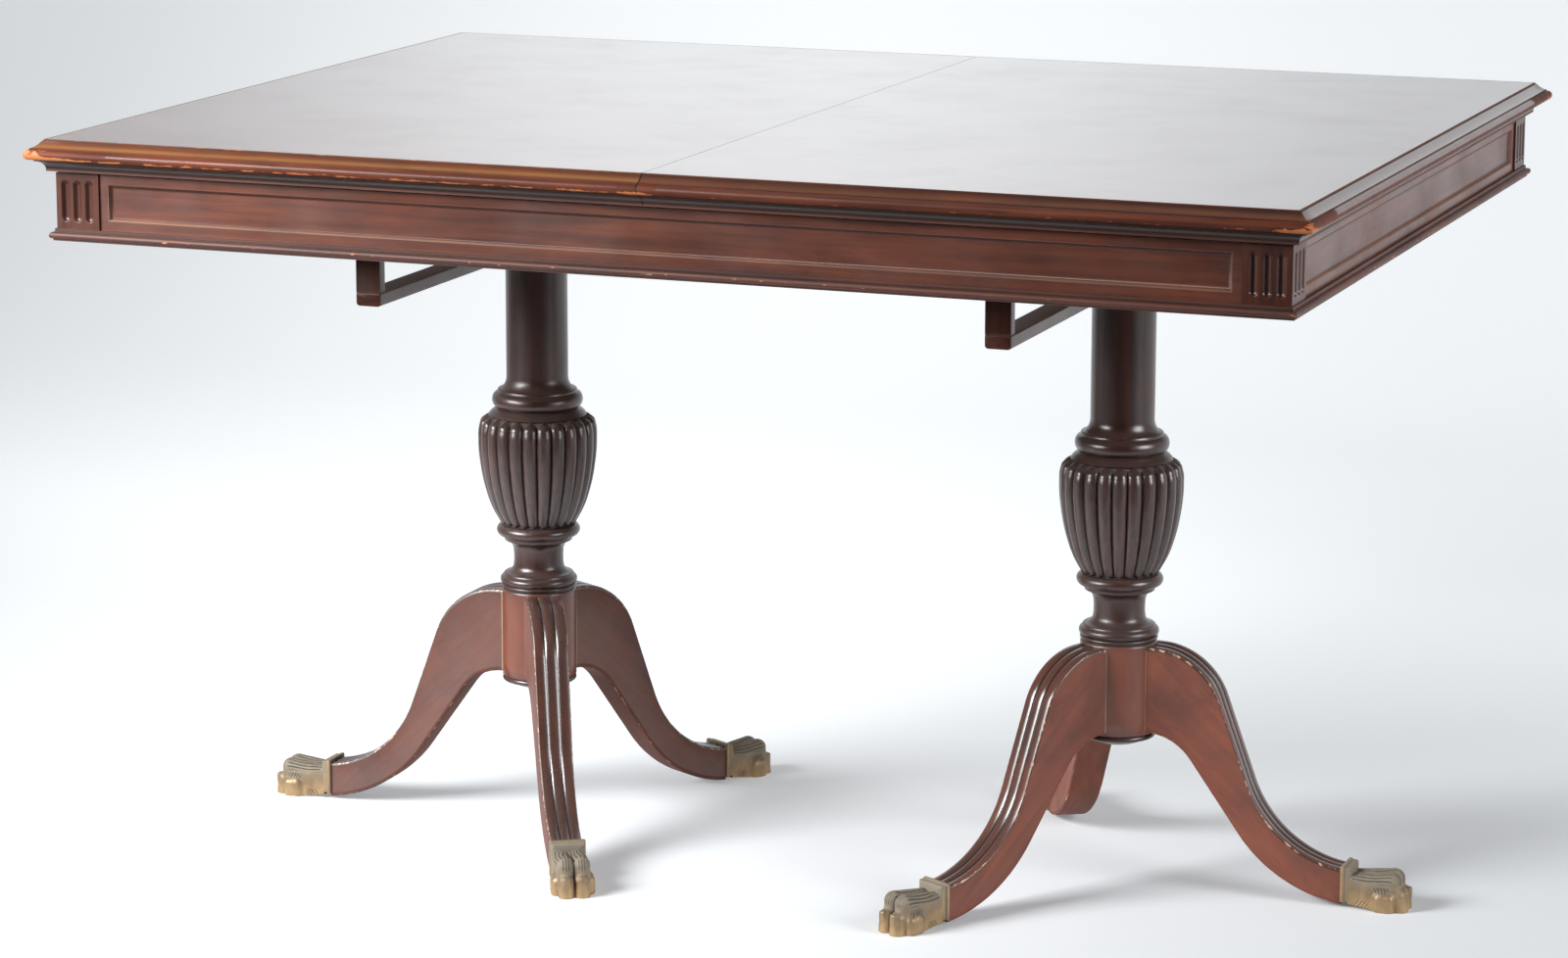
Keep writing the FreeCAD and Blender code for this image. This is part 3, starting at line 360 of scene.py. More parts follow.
def mahogany(name, wear=0.5, tone=1.0, coat=0.0, rough=0.34, soft=1.3, upward_dust_and_sheen=0.0, patch=0.3, shine=1.0,
             sheen=0.5, tint=None, bare=None):
    """Polished mahogany: streaked fibres, pores, hollows of old polish and painted shade, dust,
    rubbed and chipped edges.

    Where the tint mark is set, the colour given as tint shows; bare is the colour of chipped places. Wear is
    how much of the edges is chipped, tone how light the wood is, coat the weight of clear polish over it and
    rough its roughness. A larger soft gives calmer streaks. Patch is how dark the blotches of old polish are,
    upward_dust_and_sheen how grey the sides that face up are painted, partly as dust and partly as a painted
    sheen, shine how much of the roughness the dark hollows keep, and sheen how much light the polish
    reflects.
    """
    finish = bpy.context.scene.table_finish
    paint = Shader(name)
    grain = paint.mark("grain", vector=True)
    hollow, edge = paint.mark("hollow"), paint.mark("edge")
    fibre = paint.noise(grain, 4.0, 5.0, 0.6, 0.3, stretch=(1.6, 34.0, 34.0))
    figure = paint.noise(grain, 3.0, 3.0, 0.5, 0.8, stretch=(3.0, 9.0, 9.0))
    pores = paint.noise(grain, 3.0, 2.0, 0.5, stretch=(18.0, 190.0, 190.0))
    blotch = paint.noise(grain, 1.0, 6.0, 0.65, 0.6, stretch=(8.0, 17.0, 17.0))
    rub = paint.noise(grain, 3.2, 4.0, 0.6, stretch=(26.0, 90.0, 90.0))
    cloud = paint.noise(grain, 9.0, 5.0, 0.6)

    light, dark = (tuple(part * tone for part in wood) for wood in (finish.wood_light, finish.wood_dark))
    middle, spread = 0.53, 0.17 * soft
    streak = paint.add(paint.times(fibre, 0.65), paint.times(figure, 0.4))
    wood = paint.mix(paint.fit(streak, middle - spread, middle + spread), dark, light)
    wood = paint.mix(paint.fit(pores, 0.58, 0.74, 0.0, 0.4), wood, dark)
    wood = paint.mix(paint.times(paint.mark("tint"), 0.85), wood, tint or finish.wood_amber)
    wood = paint.mix(paint.fit(blotch, 0.45, 0.7, 0.0, patch), wood, dark)
    # Hollows darken the wood towards old polish, which is also painted shade in recesses, creases and valleys
    deposit_and_shade = paint.add(hollow, paint.fit(figure, 0.3, 0.75, -0.12, 0.12))
    wood = paint.mix(paint.fit(deposit_and_shade, 0.15, 0.95, 0.0, 0.85), wood, finish.wood_polish_and_shade)
    dust_and_sheen = paint.times(paint.mark("dust"), paint.fit(rub, 0.25, 0.75, 0.75, 1.25))
    dust_and_sheen = paint.fit(dust_and_sheen, 0.1, 1.0, 0.0, 0.75)
    # Sides that face up turn grey, partly as dust and partly as a painted sheen of reflected light
    if upward_dust_and_sheen:
        dust_and_sheen = paint.most(dust_and_sheen, paint.fit(paint.part(paint.geometry("Normal"), "Z"), 0.1, 0.95, 0.0, upward_dust_and_sheen))
    wood = paint.mix(dust_and_sheen, wood, finish.dust)
    chip = paint.fit(paint.add(paint.times(edge, wear), rub), 0.98, 1.03)
    paint.give("Base Color", paint.mix(chip, wood, bare or finish.wood_bare))

    handled = paint.fit(edge, 0.02, 0.15)
    dull = paint.add(paint.times(chip, 0.4), paint.times(handled, 0.6))
    roughness = paint.fit(paint.add(cloud, dull), 0.3, 1.2, rough * 0.85, rough * 1.7)
    if shine < 1:
        roughness = paint.times(roughness, paint.fit(hollow, 0.3, 0.6, 1.0, shine))
    reflected = sheen
    if coat:
        paint.give("Coat Weight", paint.fit(handled, 0.0, 1.0, coat, 0.0))
        roughness = paint.add(roughness, paint.times(handled, 0.22))
        reflected = paint.fit(handled, 0.0, 1.0, sheen, sheen * 0.3)
    paint.give("Specular IOR Level", reflected)
    paint.give("Roughness", roughness)
    paint.give("Coat Roughness", finish.coat_roughness)
    paint.give("IOR", finish.polish_ior)
    paint.bump(paint.less(paint.times(fibre, 0.4), paint.times(chip, 0.8)), 0.25 * MM, 0.3)
    return paint.material


def slide_wood(name):
    """Unpolished wood of the slides and bearers, grain along the table."""
    finish = bpy.context.scene.table_finish
    paint = Shader(name)
    place = paint.place()
    fibre = paint.noise(place, 3.0, 5.0, 0.6, 0.3, stretch=(3.0, 60.0, 60.0))
    stain = paint.noise(place, 6.0, 4.0, 0.6)
    wood = paint.mix(paint.fit(fibre, 0.3, 0.7), finish.inner_dark, finish.inner_light)
    paint.give("Base Color", paint.mix(paint.fit(stain, 0.5, 0.75, 0.0, 0.5), wood, finish.inner_dark))
    paint.give("Roughness", paint.fit(fibre, 0.2, 0.8, 0.52, 0.72))
    paint.bump(fibre, 0.3 * MM, 0.3)
    return paint.material


def paw_brass(name):
    """Aged cast brass: golden pads, brown sides, grey-green hollows, dark lines of grime and painted shade.
    """
    finish = bpy.context.scene.table_finish
    paint = Shader(name)
    place = paint.place()
    cloud = paint.noise(place, 70.0, 5.0, 0.6)
    speck = paint.noise(place, 520.0, 3.0, 0.6)
    brush = paint.noise(paint.mark("grain", vector=True), 1.0, 3.0, 0.6, stretch=(500.0, 500.0, 40.0))
    rubbed = paint.fit(paint.add(cloud, paint.times(paint.mark("edge"), 0.3)), 0.42, 0.9)
    metal = paint.mix(rubbed, finish.brass_aged, finish.brass)
    metal = paint.mix(paint.fit(brush, 0.45, 0.75, 0.0, 0.35), metal, finish.brass_aged)
    darkening = paint.fit(paint.add(paint.mark("hollow"), paint.times(speck, 0.3)), 0.25, 1.0, 0.0, 0.9)
    metal = paint.mix(darkening, metal, finish.verdigris)
    # The line mark paints strokes and creases dark, as grime and painted shade
    metal = paint.mix(paint.fit(paint.mark("tint"), 0.15, 0.85, 0.0, 0.75), metal, finish.brass_grime_and_shade)
    paint.give("Base Color", metal)
    paint.give("Metallic", paint.fit(darkening, 0.0, 1.0, 0.62, 0.1))
    paint.give("Roughness", paint.fit(paint.add(cloud, darkening), 0.3, 1.5, 0.48, 0.7))
    paint.bump(paint.add(speck, paint.times(brush, 0.6)), 0.3 * MM, 0.45)
    return paint.material


# Top and mouldings

def board_profile(sizes, thickness):
    """Points (distance in from the rim, height over the underside) up the edge, with their marks.

    The marks of a point are tint, edge, hollow and how much more it is chipped at the corners.
    """
    nose, margin, step = sizes.nosing, sizes.flat_margin, sizes.edge_step
    rim, round_steps, slope_steps = 2 * nose, 14, 10
    neck = rim + sizes.quirk
    points = [(margin * 2.4, 0.0), (nose, 0.0)]
    points += [(nose - x, y) for x, y in arc((0, 0), (0, rim), nose, round_steps)]
    marks = [(0.0, 0.0, 0.0, 0.0), (0.0, 0.5, 0.0, 0.3)]
    for k in range(1, round_steps + 1):
        turn = math.pi * k / round_steps
        marks.append((0.0, 0.1 + 0.85 * max(math.cos(turn - 0.9), 0.0) ** 8, 0.12, 0.95))
    slope = arc((0, neck), (margin - step - nose, thickness - step), sizes.edge_cove, slope_steps)
    points += [(nose, neck)] + [(nose + x, y) for x, y in slope]
    # The quirk over the nosing gets a dark line of painted shade
    marks.append((0.2, 0.3, 0.6, 0.4))
    # Up the slope the wood is painted darker towards the step, as shade under it; the amber is strongest a
    # little below the middle, partly the polish's own colour and partly a painted highlight
    for k in range(1, slope_steps + 1):
        up = k / slope_steps
        marks.append((0.1 + 0.9 * math.exp(-((up - 0.38) / 0.26) ** 2), 0.0, 0.15 + 0.4 * up * up, 0.1))
    points += [(margin, thickness - step), (margin, thickness), (margin + 2.0 * MM, thickness)]
    # The corner under the fine step is a dark line of painted shade
    marks += [(0.1, 0.2, 0.7, 0.0), (0.6, 0.78, 0.0, 0.1), (0.0, 0.0, 0.0, 0.0)]
    return points, marks


def board_mesh(name, side, amber, wear):
    """One half of the top, moulded on three edges, with its plain end at the seam.

    Amber is how clear the polish on the slope is, and below 1 it also paints the moulded edge darker, as
    painted shade; wear is how far the edges are chipped.
    """
    sizes = bpy.context.scene.table_sizes
    low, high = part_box(f"top_half_{name}")
    seam, rim_x = sorted((abs(low.x), abs(high.x)))
    thickness = high.z - low.z
    profile, marks = board_profile(sizes, thickness)
    # Distances from a corner with their chipping, and from the seam with their chipping and the painted shade
    # of the seam's gap
    stations = ((0.0, 0.85), (0.012, 0.7), (0.03, 0.35), (0.09, 0.0))
    joint = ((0.0, 0.3, 0.95), (0.0006, 0.5, 0.6), (0.0014, 0.55, 0.0), (0.005, 0.45, 0.0), (0.02, 0.0, 0.0))
    skin = Skin()
    for (inset, height), (tint, edge, hollow, corner) in zip(profile, marks):
        x, y, z = rim_x - inset, high.y - inset, low.z + height
        shut = seam - sizes.seam_slant * (1 - height / thickness)
        front = [(shut + gap, rub, dark) for gap, rub, dark in joint]
        front += [(x - back, rub, 0.0) for back, rub in stations[::-1]]
        row = [(along, -y, rub, dark) for along, rub, dark in front]
        row += [(x, back - y, rub, 0.0) for back, rub in stations[1:]]
        row += [(x, y - back, rub, 0.0) for back, rub in stations[:0:-1]]
        row += [(along, y, rub, dark) for along, rub, dark in front[::-1]]
        # A lower amber paints the moulded edge darker, as shade
        darkening = hollow + (0.3 * (1 - amber) if inset < sizes.flat_margin else 0.0)
        for along, across, rub, dark in row:
            skin.add((side * along, across, z), tint=tint * amber, hollow=max(darkening, dark),
                     edge=edge * wear + corner * rub)
    wide, rows, ends = len(row), len(profile), len(front)
    flat = wide * (rows - 1)
    faces = grid_faces(rows, wide) + [tuple(range(wide))]
    faces += [(flat + k, flat + k + 1, flat + wide - 2 - k, flat + wide - 1 - k) for k in range(ends - 1)]
    faces.append(tuple(range(flat + ends - 1, flat + wide - ends + 1)))
    seam_line = range(0, wide * rows, wide)
    faces.append((*seam_line, *(k + wide - 1 for k in reversed(seam_line))))
    plank = np.array((0.0, 0.37 * side, 0.0))
    grain = np.array(skin.points) + plank
    return build_mesh(name, skin.points, faces, {"grain": grain, **skin.marks})


def strip_mesh(name, profile, marks, rim, spans, along_x, sign):
    """A straight moulding; profile gives (distance in, height), spans the ends for a distance in."""
    skin = Skin()
    for (inset, height), (hollow, edge) in zip(profile, marks):
        across = sign * (rim - inset)
        for end in spans(inset):
            skin.add((end, across, height) if along_x else (across, end, height), hollow=hollow, edge=edge)
    count = len(profile)
    faces = [(2 * k, 2 * k + 1, 2 * ((k + 1) % count) + 1, 2 * ((k + 1) % count)) for k in range(count)]
    faces += [tuple(range(first, 2 * count, 2)) for first in (0, 1)]
    grain = np.array(skin.points)[:, (0, 1, 2) if along_x else (1, 0, 2)]
    return build_mesh(name, skin.points, faces, {"grain": grain, **skin.marks})


def bed_profile(sizes, low, high, width):
    """The cove under the top: fillet, cove, fillet."""
    fillet = sizes.bed_fillet
    height = high - low
    cove = height - 2 * fillet
    curve = arc((0, height - fillet), (cove, fillet), -cove, 10)
    points = [(width, high), (0.0, high), (0.0, high - fillet)]
    points += [(x, low + y) for x, y in curve] + [(cove, low), (width, low)]
    # The cove under the nosing is darkened as old polish and painted shade
    marks = [(0.3, 0.0), (0.4, 0.2), (0.3, 0.4)] + [(0.75, 0.0)] * 9 + [(0.4, 0.3), (0.2, 0.35), (0.0, 0.0)]
    return points, marks


def base_profile(sizes, low, high, width):
    """The bead under the apron, with a ledge above it and a drip below."""
    bead, steps = sizes.bead, 14
    foot = low + sizes.bead_rise
    head = foot + 2 * bead
    points = [(width, low), (bead, low), (bead, foot)] + arc((bead, foot), (bead, head), -bead, steps)
    points += [(sizes.bead_ledge, head), (sizes.bead_ledge, high), (width, high)]
    # The roots of the bead and the corner under the ledge are darkened as old polish and painted shade
    marks = [(0.0, 0.0), (0.3, 0.6), (0.5, 0.1)]
    marks += [(0.0, 0.85 * math.sin(math.pi * k / steps) ** 2) for k in range(1, steps)] + [(0.4, 0.1)]
    marks += [(0.7, 0.0), (0.2, 0.3), (0.0, 0.0)]
    return points, marks


class TABLE_OT_top(bpy.types.Operator):
    """Make both halves of the top"""
    bl_idname = "table.top"
    bl_label = "Top boards"

    def execute(self, context):
        finish = mahogany("top_polish", wear=0.56, coat=1.0, rough=0.2)
        # The right half is painted less amber and darker on its edge, as shade
        for name, side, amber, wear in (("right", 1, 0.35, 0.72), ("left", -1, 1.0, 1.0)):
            mesh = board_mesh(name, side, amber, wear)
            add_piece(f"board_{name}", mesh, f"{name}_half", "top_mahogany", finish, f"top_half_{name}")
        return {"FINISHED"}


class TABLE_OT_mouldings(bpy.types.Operator):
    """Make the cove under the top and the bead under the apron"""
    bl_idname = "table.mouldings"
    bl_label = "Mouldings"

    def execute(self, context):
        sizes = context.scene.table_sizes
        cove = mahogany("cove_polish", wear=0.34, tone=0.8, rough=0.36)
        bead = mahogany("bead_polish", wear=0.44, tone=0.7)
        for half, side in (("right", 1), ("left", -1)):
            self.bed(sizes, cove, half, side)
        self.base(sizes, bead)
        return {"FINISHED"}

    def bed(self, sizes, finish, half, side):
        """The cove round one half of the top."""
        low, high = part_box(f"bed_moulding_{half}_end")
        rim_x, rim_y = max(abs(low.x), abs(high.x)), high.y
        shape = bed_profile(sizes, low.z, high.z, high.x - low.x)
        seam = min(abs(corner.x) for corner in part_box(f"bed_moulding_{half}_front"))
        end = (rim_x, lambda inset: (inset - rim_y, rim_y - inset), False)
        edge = (rim_y, lambda inset: (side * seam, side * (rim_x - inset)), True)
        for where, place, sign in (("end", end, side), ("front", edge, -1), ("rear", edge, 1)):
            mesh = strip_mesh(where, *shape, *place, sign)
            add_piece(f"cove_{half}_{where}", mesh, f"{half}_half", "apron_mahogany", finish,
                      f"bed_moulding_{half}_{where}")

    def base(self, sizes, finish):
        """The bead round the apron."""
        low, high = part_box("base_moulding_right")
        rim_x, rim_y = high.x, high.y
        shape = base_profile(sizes, low.z, high.z, high.x - low.x)
        end = (rim_x, lambda inset: (inset - rim_y, rim_y - inset), False)
        edge = (rim_y, lambda inset: (inset - rim_x, rim_x - inset), True)
        places = (("right", end, 1), ("left", end, -1), ("rear", edge, 1), ("front", edge, -1))
        for name, place, sign in places:
            mesh = strip_mesh(name, *shape, *place, sign)
            add_piece(f"bead_{name}", mesh, "frame", "apron_mahogany", finish, f"base_moulding_{name}")


# Apron

def turned_about_z(points, turn):
    """Points turned about the vertical axis by a number of degrees."""
    cos, sin = math.cos(math.radians(turn)), math.sin(math.radians(turn))
    points = np.asarray(points, float)
    out = points.copy()
    out[:, 0] = cos * points[:, 0] - sin * points[:, 1]
    out[:, 1] = sin * points[:, 0] + cos * points[:, 1]
    return out


def rail_mesh(name, span, outer, inner, low, high, turn):
    """An apron rail with a sunk panel; span is half its length, outer and inner its distances out."""
    sizes = bpy.context.scene.table_sizes
    margin, deep = sizes.panel_margin, sizes.panel_depth
    foot = margin + sizes.panel_slope
    # Distance in from the rail's rim, depth, hollow and edge of the rings round the panel
    rings = (
        (0.0, 0.0, 0.1, 0.0),
        (margin - 1.2 * MM, 0.0, 0.0, 0.0),
        (margin - 0.4 * MM, 0.1 * MM, 0.0, 0.5),
        (margin, 0.6 * MM, 0.1, 0.4),
        (foot, deep - 0.3 * MM, 0.45, 0.0),
        (foot + 0.5 * MM, deep, 0.6, 0.0),
        (foot + 2.2 * MM, deep, 0.0, 0.0),
    )
    skin = Skin()
    for inset, depth, hollow, edge in rings:
        x, y, bottom, top = span - inset, -outer + depth, low + inset, high - inset
        # Along the panel's top the hollows are painted darker, as shadow under the frame; along its bottom a
        # light line is painted as a highlight, brighter at the left end
        for along, up, darkening, painted_highlight in ((-x, bottom, 0.2, 0.7), (x, bottom, 0.2, 0.35), (x, top, 1.3, 0.0),
                                      (-x, top, 1.3, 0.0)):
            skin.add((along, y, up), hollow=hollow * darkening, edge=edge, tint=edge * painted_highlight)
    for x, z in ((-span, low), (span, low), (span, high), (-span, high)):
        skin.add((x, -inner, z), hollow=0.2)
    back = 4 * len(rings)
    faces = grid_faces(len(rings), 4, closed=True) + [tuple(range(back - 4, back))]
    faces += [(k, (k + 1) % 4, back + (k + 1) % 4, back + k) for k in range(4)]
    faces.append(tuple(range(back, back + 4)))
    plank = np.array((0.013 * turn, 0.021 * turn, 0.0))
    grain = np.array(skin.points) + plank
    return build_mesh(name, turned_about_z(skin.points, turn), faces, {"grain": grain, **skin.marks})


def flute_depth_at(across, up, width, height, sizes):
    """Depth of the stopped flutes at a place on a block's face."""
    half, deep = sizes.flute_width / 2, sizes.flute_depth
    rod = (half * half + deep * deep) / (2 * deep)
    bottom, top = sizes.flute_margin + half, height - sizes.flute_margin - half
    nearest = np.round((across - width / 2) / sizes.flute_spacing).clip(-1, 1) * sizes.flute_spacing
    away = np.hypot(across - width / 2 - nearest, up - np.clip(up, bottom, top))
    return np.where(away < half, np.sqrt(np.maximum(rod * rod - away * away, 0)) - (rod - deep), 0.0)


def block_mesh(name, corner, width, low, high, turn):
    """A corner block: one sheet round both fluted faces, closed by plain faces."""
    sizes = bpy.context.scene.table_sizes
    ease, height = sizes.arris, high - low
    run, ups = np.linspace(ease, width, 72), np.linspace(0, height, 96)
    bend = [math.radians(15 * step) for step in range(1, 6)]
    # Along the sheet: place, the way that a flute goes in, distance from the corner
    flat = [(0.0, far, 1, 0, far) for far in run[::-1]]
    flat += [(ease - ease * math.cos(turned), ease - ease * math.sin(turned), 0, 0, 0.0) for turned in bend]
    flat += [(far, 0.0, 0, 1, far) for far in run]
    skin = Skin()
    for up in ups:
        for x, y, on_x, on_y, far in flat:
            faced = on_x or on_y
            deep = float(flute_depth_at(far, up, width, height, sizes)) if faced else 0.0
            # Flutes are darkened with their depth, as old polish and painted shade
            skin.add((x + on_x * deep, y + on_y * deep, up), hollow=0.1 + 0.3 * deep / sizes.flute_depth,
                     edge=0.0 if faced else 0.4)
    columns, rows, inner = len(flat), len(ups), len(skin.points)
    for up in (0.0, height):
        skin.add((width, width, up))
    last = inner - columns
    faces = grid_faces(rows, columns)
    faces += [(*range(columns), inner), (*range(last, inner), inner + 1)]
    faces += [(*range(first, inner, columns), inner + 1, inner) for first in (0, columns - 1)]
    spots = turned_about_z(skin.points, turn) + np.array((*corner, low))
    grain = spots[:, (2, 0, 1)] + 0.31 * turn
    return build_mesh(name, spots, faces, {"grain": grain, **skin.marks})


class TABLE_OT_apron(bpy.types.Operator):
    """Make the apron rails and the fluted corner blocks"""
    bl_idname = "table.apron"
    bl_label = "Apron"

    def execute(self, context):
        # The rails' tint paints a highlight in the rubbed wood's colour along the panels' lower edges
        rail_finish = mahogany("rail_polish", wear=0.3, tone=0.86, rough=0.4, soft=1.6, patch=0.5, sheen=0.6,
                               tint=context.scene.table_finish.wood_rubbed)
        block_finish = mahogany("block_polish", wear=0.3, tone=0.5, rough=0.4)
        front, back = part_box("corner_block_rear_right")
        width = back.x - front.x
        low, high = front.z, back.z
        half_x, half_y = back.x, back.y
        for name, turn in (("front", 0), ("right", 90), ("rear", 180), ("left", 270)):
            first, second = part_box(f"apron_rail_{name}")
            across = (first.y, second.y) if turn % 180 == 0 else (first.x, second.x)
            outer = max(abs(value) for value in across)
            inner = min(abs(value) for value in across)
            span = (half_x if turn % 180 == 0 else half_y) - width
            mesh = rail_mesh(name, span, outer, inner, low, high, turn)
            add_piece(f"rail_{name}", mesh, "frame", "apron_mahogany", rail_finish, f"apron_rail_{name}")
        corners = (("front_left", (-half_x, -half_y), 0), ("front_right", (half_x, -half_y), 90),
                   ("rear_right", (half_x, half_y), 180), ("rear_left", (-half_x, half_y), 270))
        for name, corner, turn in corners:
            mesh = block_mesh(name, corner, width, low, high, turn)
            add_piece(f"block_{name}", mesh, "frame", "apron_mahogany", block_finish, f"corner_block_{name}")
        return {"FINISHED"}


# Columns

def column_outline(sizes, top):
    """Rows (radius, height, reed share, hollow, dust) up the column from the hub to the bearer.

    The reed share is 1 where reeds stand at their full depth and 0 where the column is plain.
    """
    rows = []

    # Hollow darkens the wood as old polish and painted shade in the crevices between the rings
    def run(points, hollow=0.0, dust=0.0):
        rows.extend((radius, height, 0.0, hollow, dust) for radius, height in points)

    def bead(root, radius, height, half, steps=12):
        """A half-round ring from its root radius out to radius, half its height to each side."""
        for step in range(steps + 1):
            turn = math.pi * step / steps - math.pi / 2
            swell = max(math.cos(turn), 0.0)
            rows.append((root + (radius - root) * swell, height + half * math.sin(turn), 0.0,
                         0.6 * (1 - swell) ** 2, 0.18))

    hub, collar, shaft, neck = sizes.hub, sizes.collar, sizes.shaft, sizes.neck
    # Hub
    run([(0.0, 0.156), (hub - 0.001, 0.156), (hub, 0.157)], 0.5)
    run([(hub, 0.17), (hub, 0.2), (hub, 0.228)], 0.05)
    run([(hub, 0.2455), (hub, 0.2468)], 0.5)
    run([(hub - 0.0005, 0.2478), (hub - 0.001, 0.2482)], 0.7)
    run([(hub - 0.002, 0.2484), (hub - 0.002, 0.2496)], 0.8)
    # Rings over the hub
    bead(hub - 0.0015, hub + 0.0004, 0.2516, 0.0018, 6)
    bead(hub - 0.002, hub + 0.0014, 0.2578, 0.0042)
    run([(0.0362, 0.2622)], 0.5, 0.4)
    run([(0.0362, 0.2642), (0.0355, 0.2648)])
    # Hollow neck
    run([(0.0335, 0.2652)], 0.3, 0.4)
    run(arc((0.0335, 0.2652), (neck + 0.0004, 0.274), -0.0092, 9), 0.1)
    run([(neck, 0.278), (neck, 0.284), (neck + 0.0004, 0.289)])
    run(arc((neck + 0.0004, 0.289), (0.0328, 0.299), -0.0112, 9), 0.1)
    # Ring under the urn
    run([(0.0346, 0.2994)], 0.5)
    run([(0.0352, 0.3), (0.0352, 0.3032)])
    bead(0.0365, collar - 0.0036, 0.3103, 0.0064)
    run([(0.0385, 0.3172)], 0.4, 0.45)
    urn_rows(sizes, rows)
    # Lip and collar over the urn
    run([(0.0494, 0.4308)], 0.3, 0.75)
    run([(0.0504, 0.4313), (0.0507, 0.4321), (0.05, 0.433)], 0.05, 0.2)
    run([(0.0482, 0.4352), (0.0455, 0.4373), (0.0432, 0.4386)], 0.1)
    run([(0.0418, 0.4393)], 0.5, 0.4)
    bead(0.0415, collar, 0.4475, 0.0078)
    run([(0.0408, 0.4556)], 0.4, 0.4)
    run([(0.0408, 0.4582), (0.0402, 0.4588)])
    run([(0.0372, 0.459)], 0.3, 0.4)
    run(arc((0.0372, 0.459), (shaft, 0.472), -0.0175, 8), 0.1)
    # Shaft
    run([(shaft, 0.52), (shaft, 0.6), (shaft, top - 0.0012)])
    run([(shaft - 0.001, top), (0.0, top)])
    return rows


# Heights and radii up the urn, in millimetres
URN_LEVELS = ((318.0, 39.0), (334.0, 47.6), (354.0, 54.4), (380.0, 59.6), (406.0, 61.6), (420.0, 60.6),
              (427.5, 57.2), (430.6, 52.4))


def urn_rows(sizes, rows):
    """The reeded body, along a smooth line through the urn's levels."""
    heights, radii = np.array(URN_LEVELS).T * MM
    radii = radii * sizes.belly / radii.max()
    slopes = np.gradient(radii, heights)
    spread = (1 - np.cos(np.linspace(0, math.pi, 64))) / 2
    for height in heights[0] + (heights[-1] - heights[0]) * spread:
        level = min(int(np.searchsorted(heights, height, "right")) - 1, len(heights) - 2)
        step = heights[level + 1] - heights[level]
        part = (height - heights[level]) / step
        blend = part * part * (3 - 2 * part)
        radius = radii[level] * (1 - blend) + radii[level + 1] * blend
        radius += step * part * (1 - part) * (slopes[level] * (1 - part) - slopes[level + 1] * part)
        rows.append((float(radius), float(height), 1.0, 0.0, 0.0))


def reed_rise(turn, height, sizes, bottom, top):
    """How far the reeds fill their depth: 1 on a ridge, 0 in a valley; both ends are round like fingers.

    Also returns how close a height is to the round ends.
    """
    pitch = math.tau / sizes.reeds
    across = np.abs((turn / pitch + 0.5) % 1.0 - 0.5) * 2
    head, foot = 9.0 * MM, 4.5 * MM
    over = max((height - (top - head)) / head, (bottom + foot - height) / foot, 0.0)
    width = max(1 - over * over, 0.02)
    return np.sqrt(np.maximum(1 - across ** 2 * 0.97 / width, 0.0)), over


def ring(radii, turns, height):
    """Points of a ring round the upright axis."""
    return np.column_stack((radii * np.cos(turns), radii * np.sin(turns), np.full(len(turns), height)))


def column_mesh(name, place):
    """The turned column, with the reeds cut into its urn."""
    sizes = bpy.context.scene.pedestal_sizes
    rows = column_outline(sizes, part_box("bearer_right")[0].z)
    steps = sizes.reeds * 16
    turns = np.arange(steps) * math.tau / steps
    bottom, top = URN_LEVELS[0][0] * MM, URN_LEVELS[-1][0] * MM
    points, marks = [], {"hollow": [], "tint": [], "dust": []}
    for radius, height, reeded, hollow, dust in rows:
        if reeded:
            rise, over = reed_rise(turns, height, sizes, bottom, top)
            radius = radius - sizes.reed_depth * (1 - rise) * radius / sizes.belly
            # Reed valleys are darkened as old polish and painted shade
            hollow = 0.9 * (1 - rise) ** 1.5 * (1 - 0.6 * over)
            dust = 0.3 + 0.45 * (1 - rise) * over
        points.append(ring(np.maximum(radius, 0.4 * MM), turns, height))
        # Below the hub's head the tint paints the wood lighter and redder, as lit
        for mark, value in zip(marks, (hollow, 0.5 if height < HUB_HEAD else 0.0, dust)):
            marks[mark].append(np.full(steps, value))
    points = np.concatenate(points)
    marks = {mark: np.concatenate(values) for mark, values in marks.items()}
    marks["grain"] = points[:, (2, 0, 1)] + place
    faces = tube_faces(len(rows), steps)
    return build_mesh(name, points + np.array((place, 0, 0)), faces, marks, CARVED_SHARP)


def button_mesh(name, place):
    """The bead and shallow dome under the hub."""
    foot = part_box("hub_button_right")[0].z
    seat, steps = 156.0 * MM, 96
    dome = arc((0.0, foot), (33.0 * MM, seat - 6.4 * MM), 70.0 * MM, 10)
    rows = [(0.0, foot, 0.0)] + [(radius, height, 0.1) for radius, height in dome]
    # The crease round the dome's root is darkened as old polish and painted shade
    rows.append((33.6 * MM, seat - 6.2 * MM, 0.8))
    for step in range(13):
        turn = math.pi * step / 12 - math.pi / 2
        rows.append((35.0 * MM + 3.4 * MM * max(math.cos(turn), 0),
                     seat - 3.1 * MM + 3.0 * MM * math.sin(turn), 0.2))
    rows.append((0.0, seat - 0.1 * MM, 0.0))
    turns = np.arange(steps) * math.tau / steps
    points = np.concatenate([ring(max(radius, 0.3 * MM), turns, height) for radius, height, _ in rows])
    marks = {"grain": points + place, "hollow": np.repeat([row[2] for row in rows], steps)}
    faces = tube_faces(len(rows), steps)
    return build_mesh(name, points + np.array((place, 0, 0)), faces, marks, CARVED_SHARP)


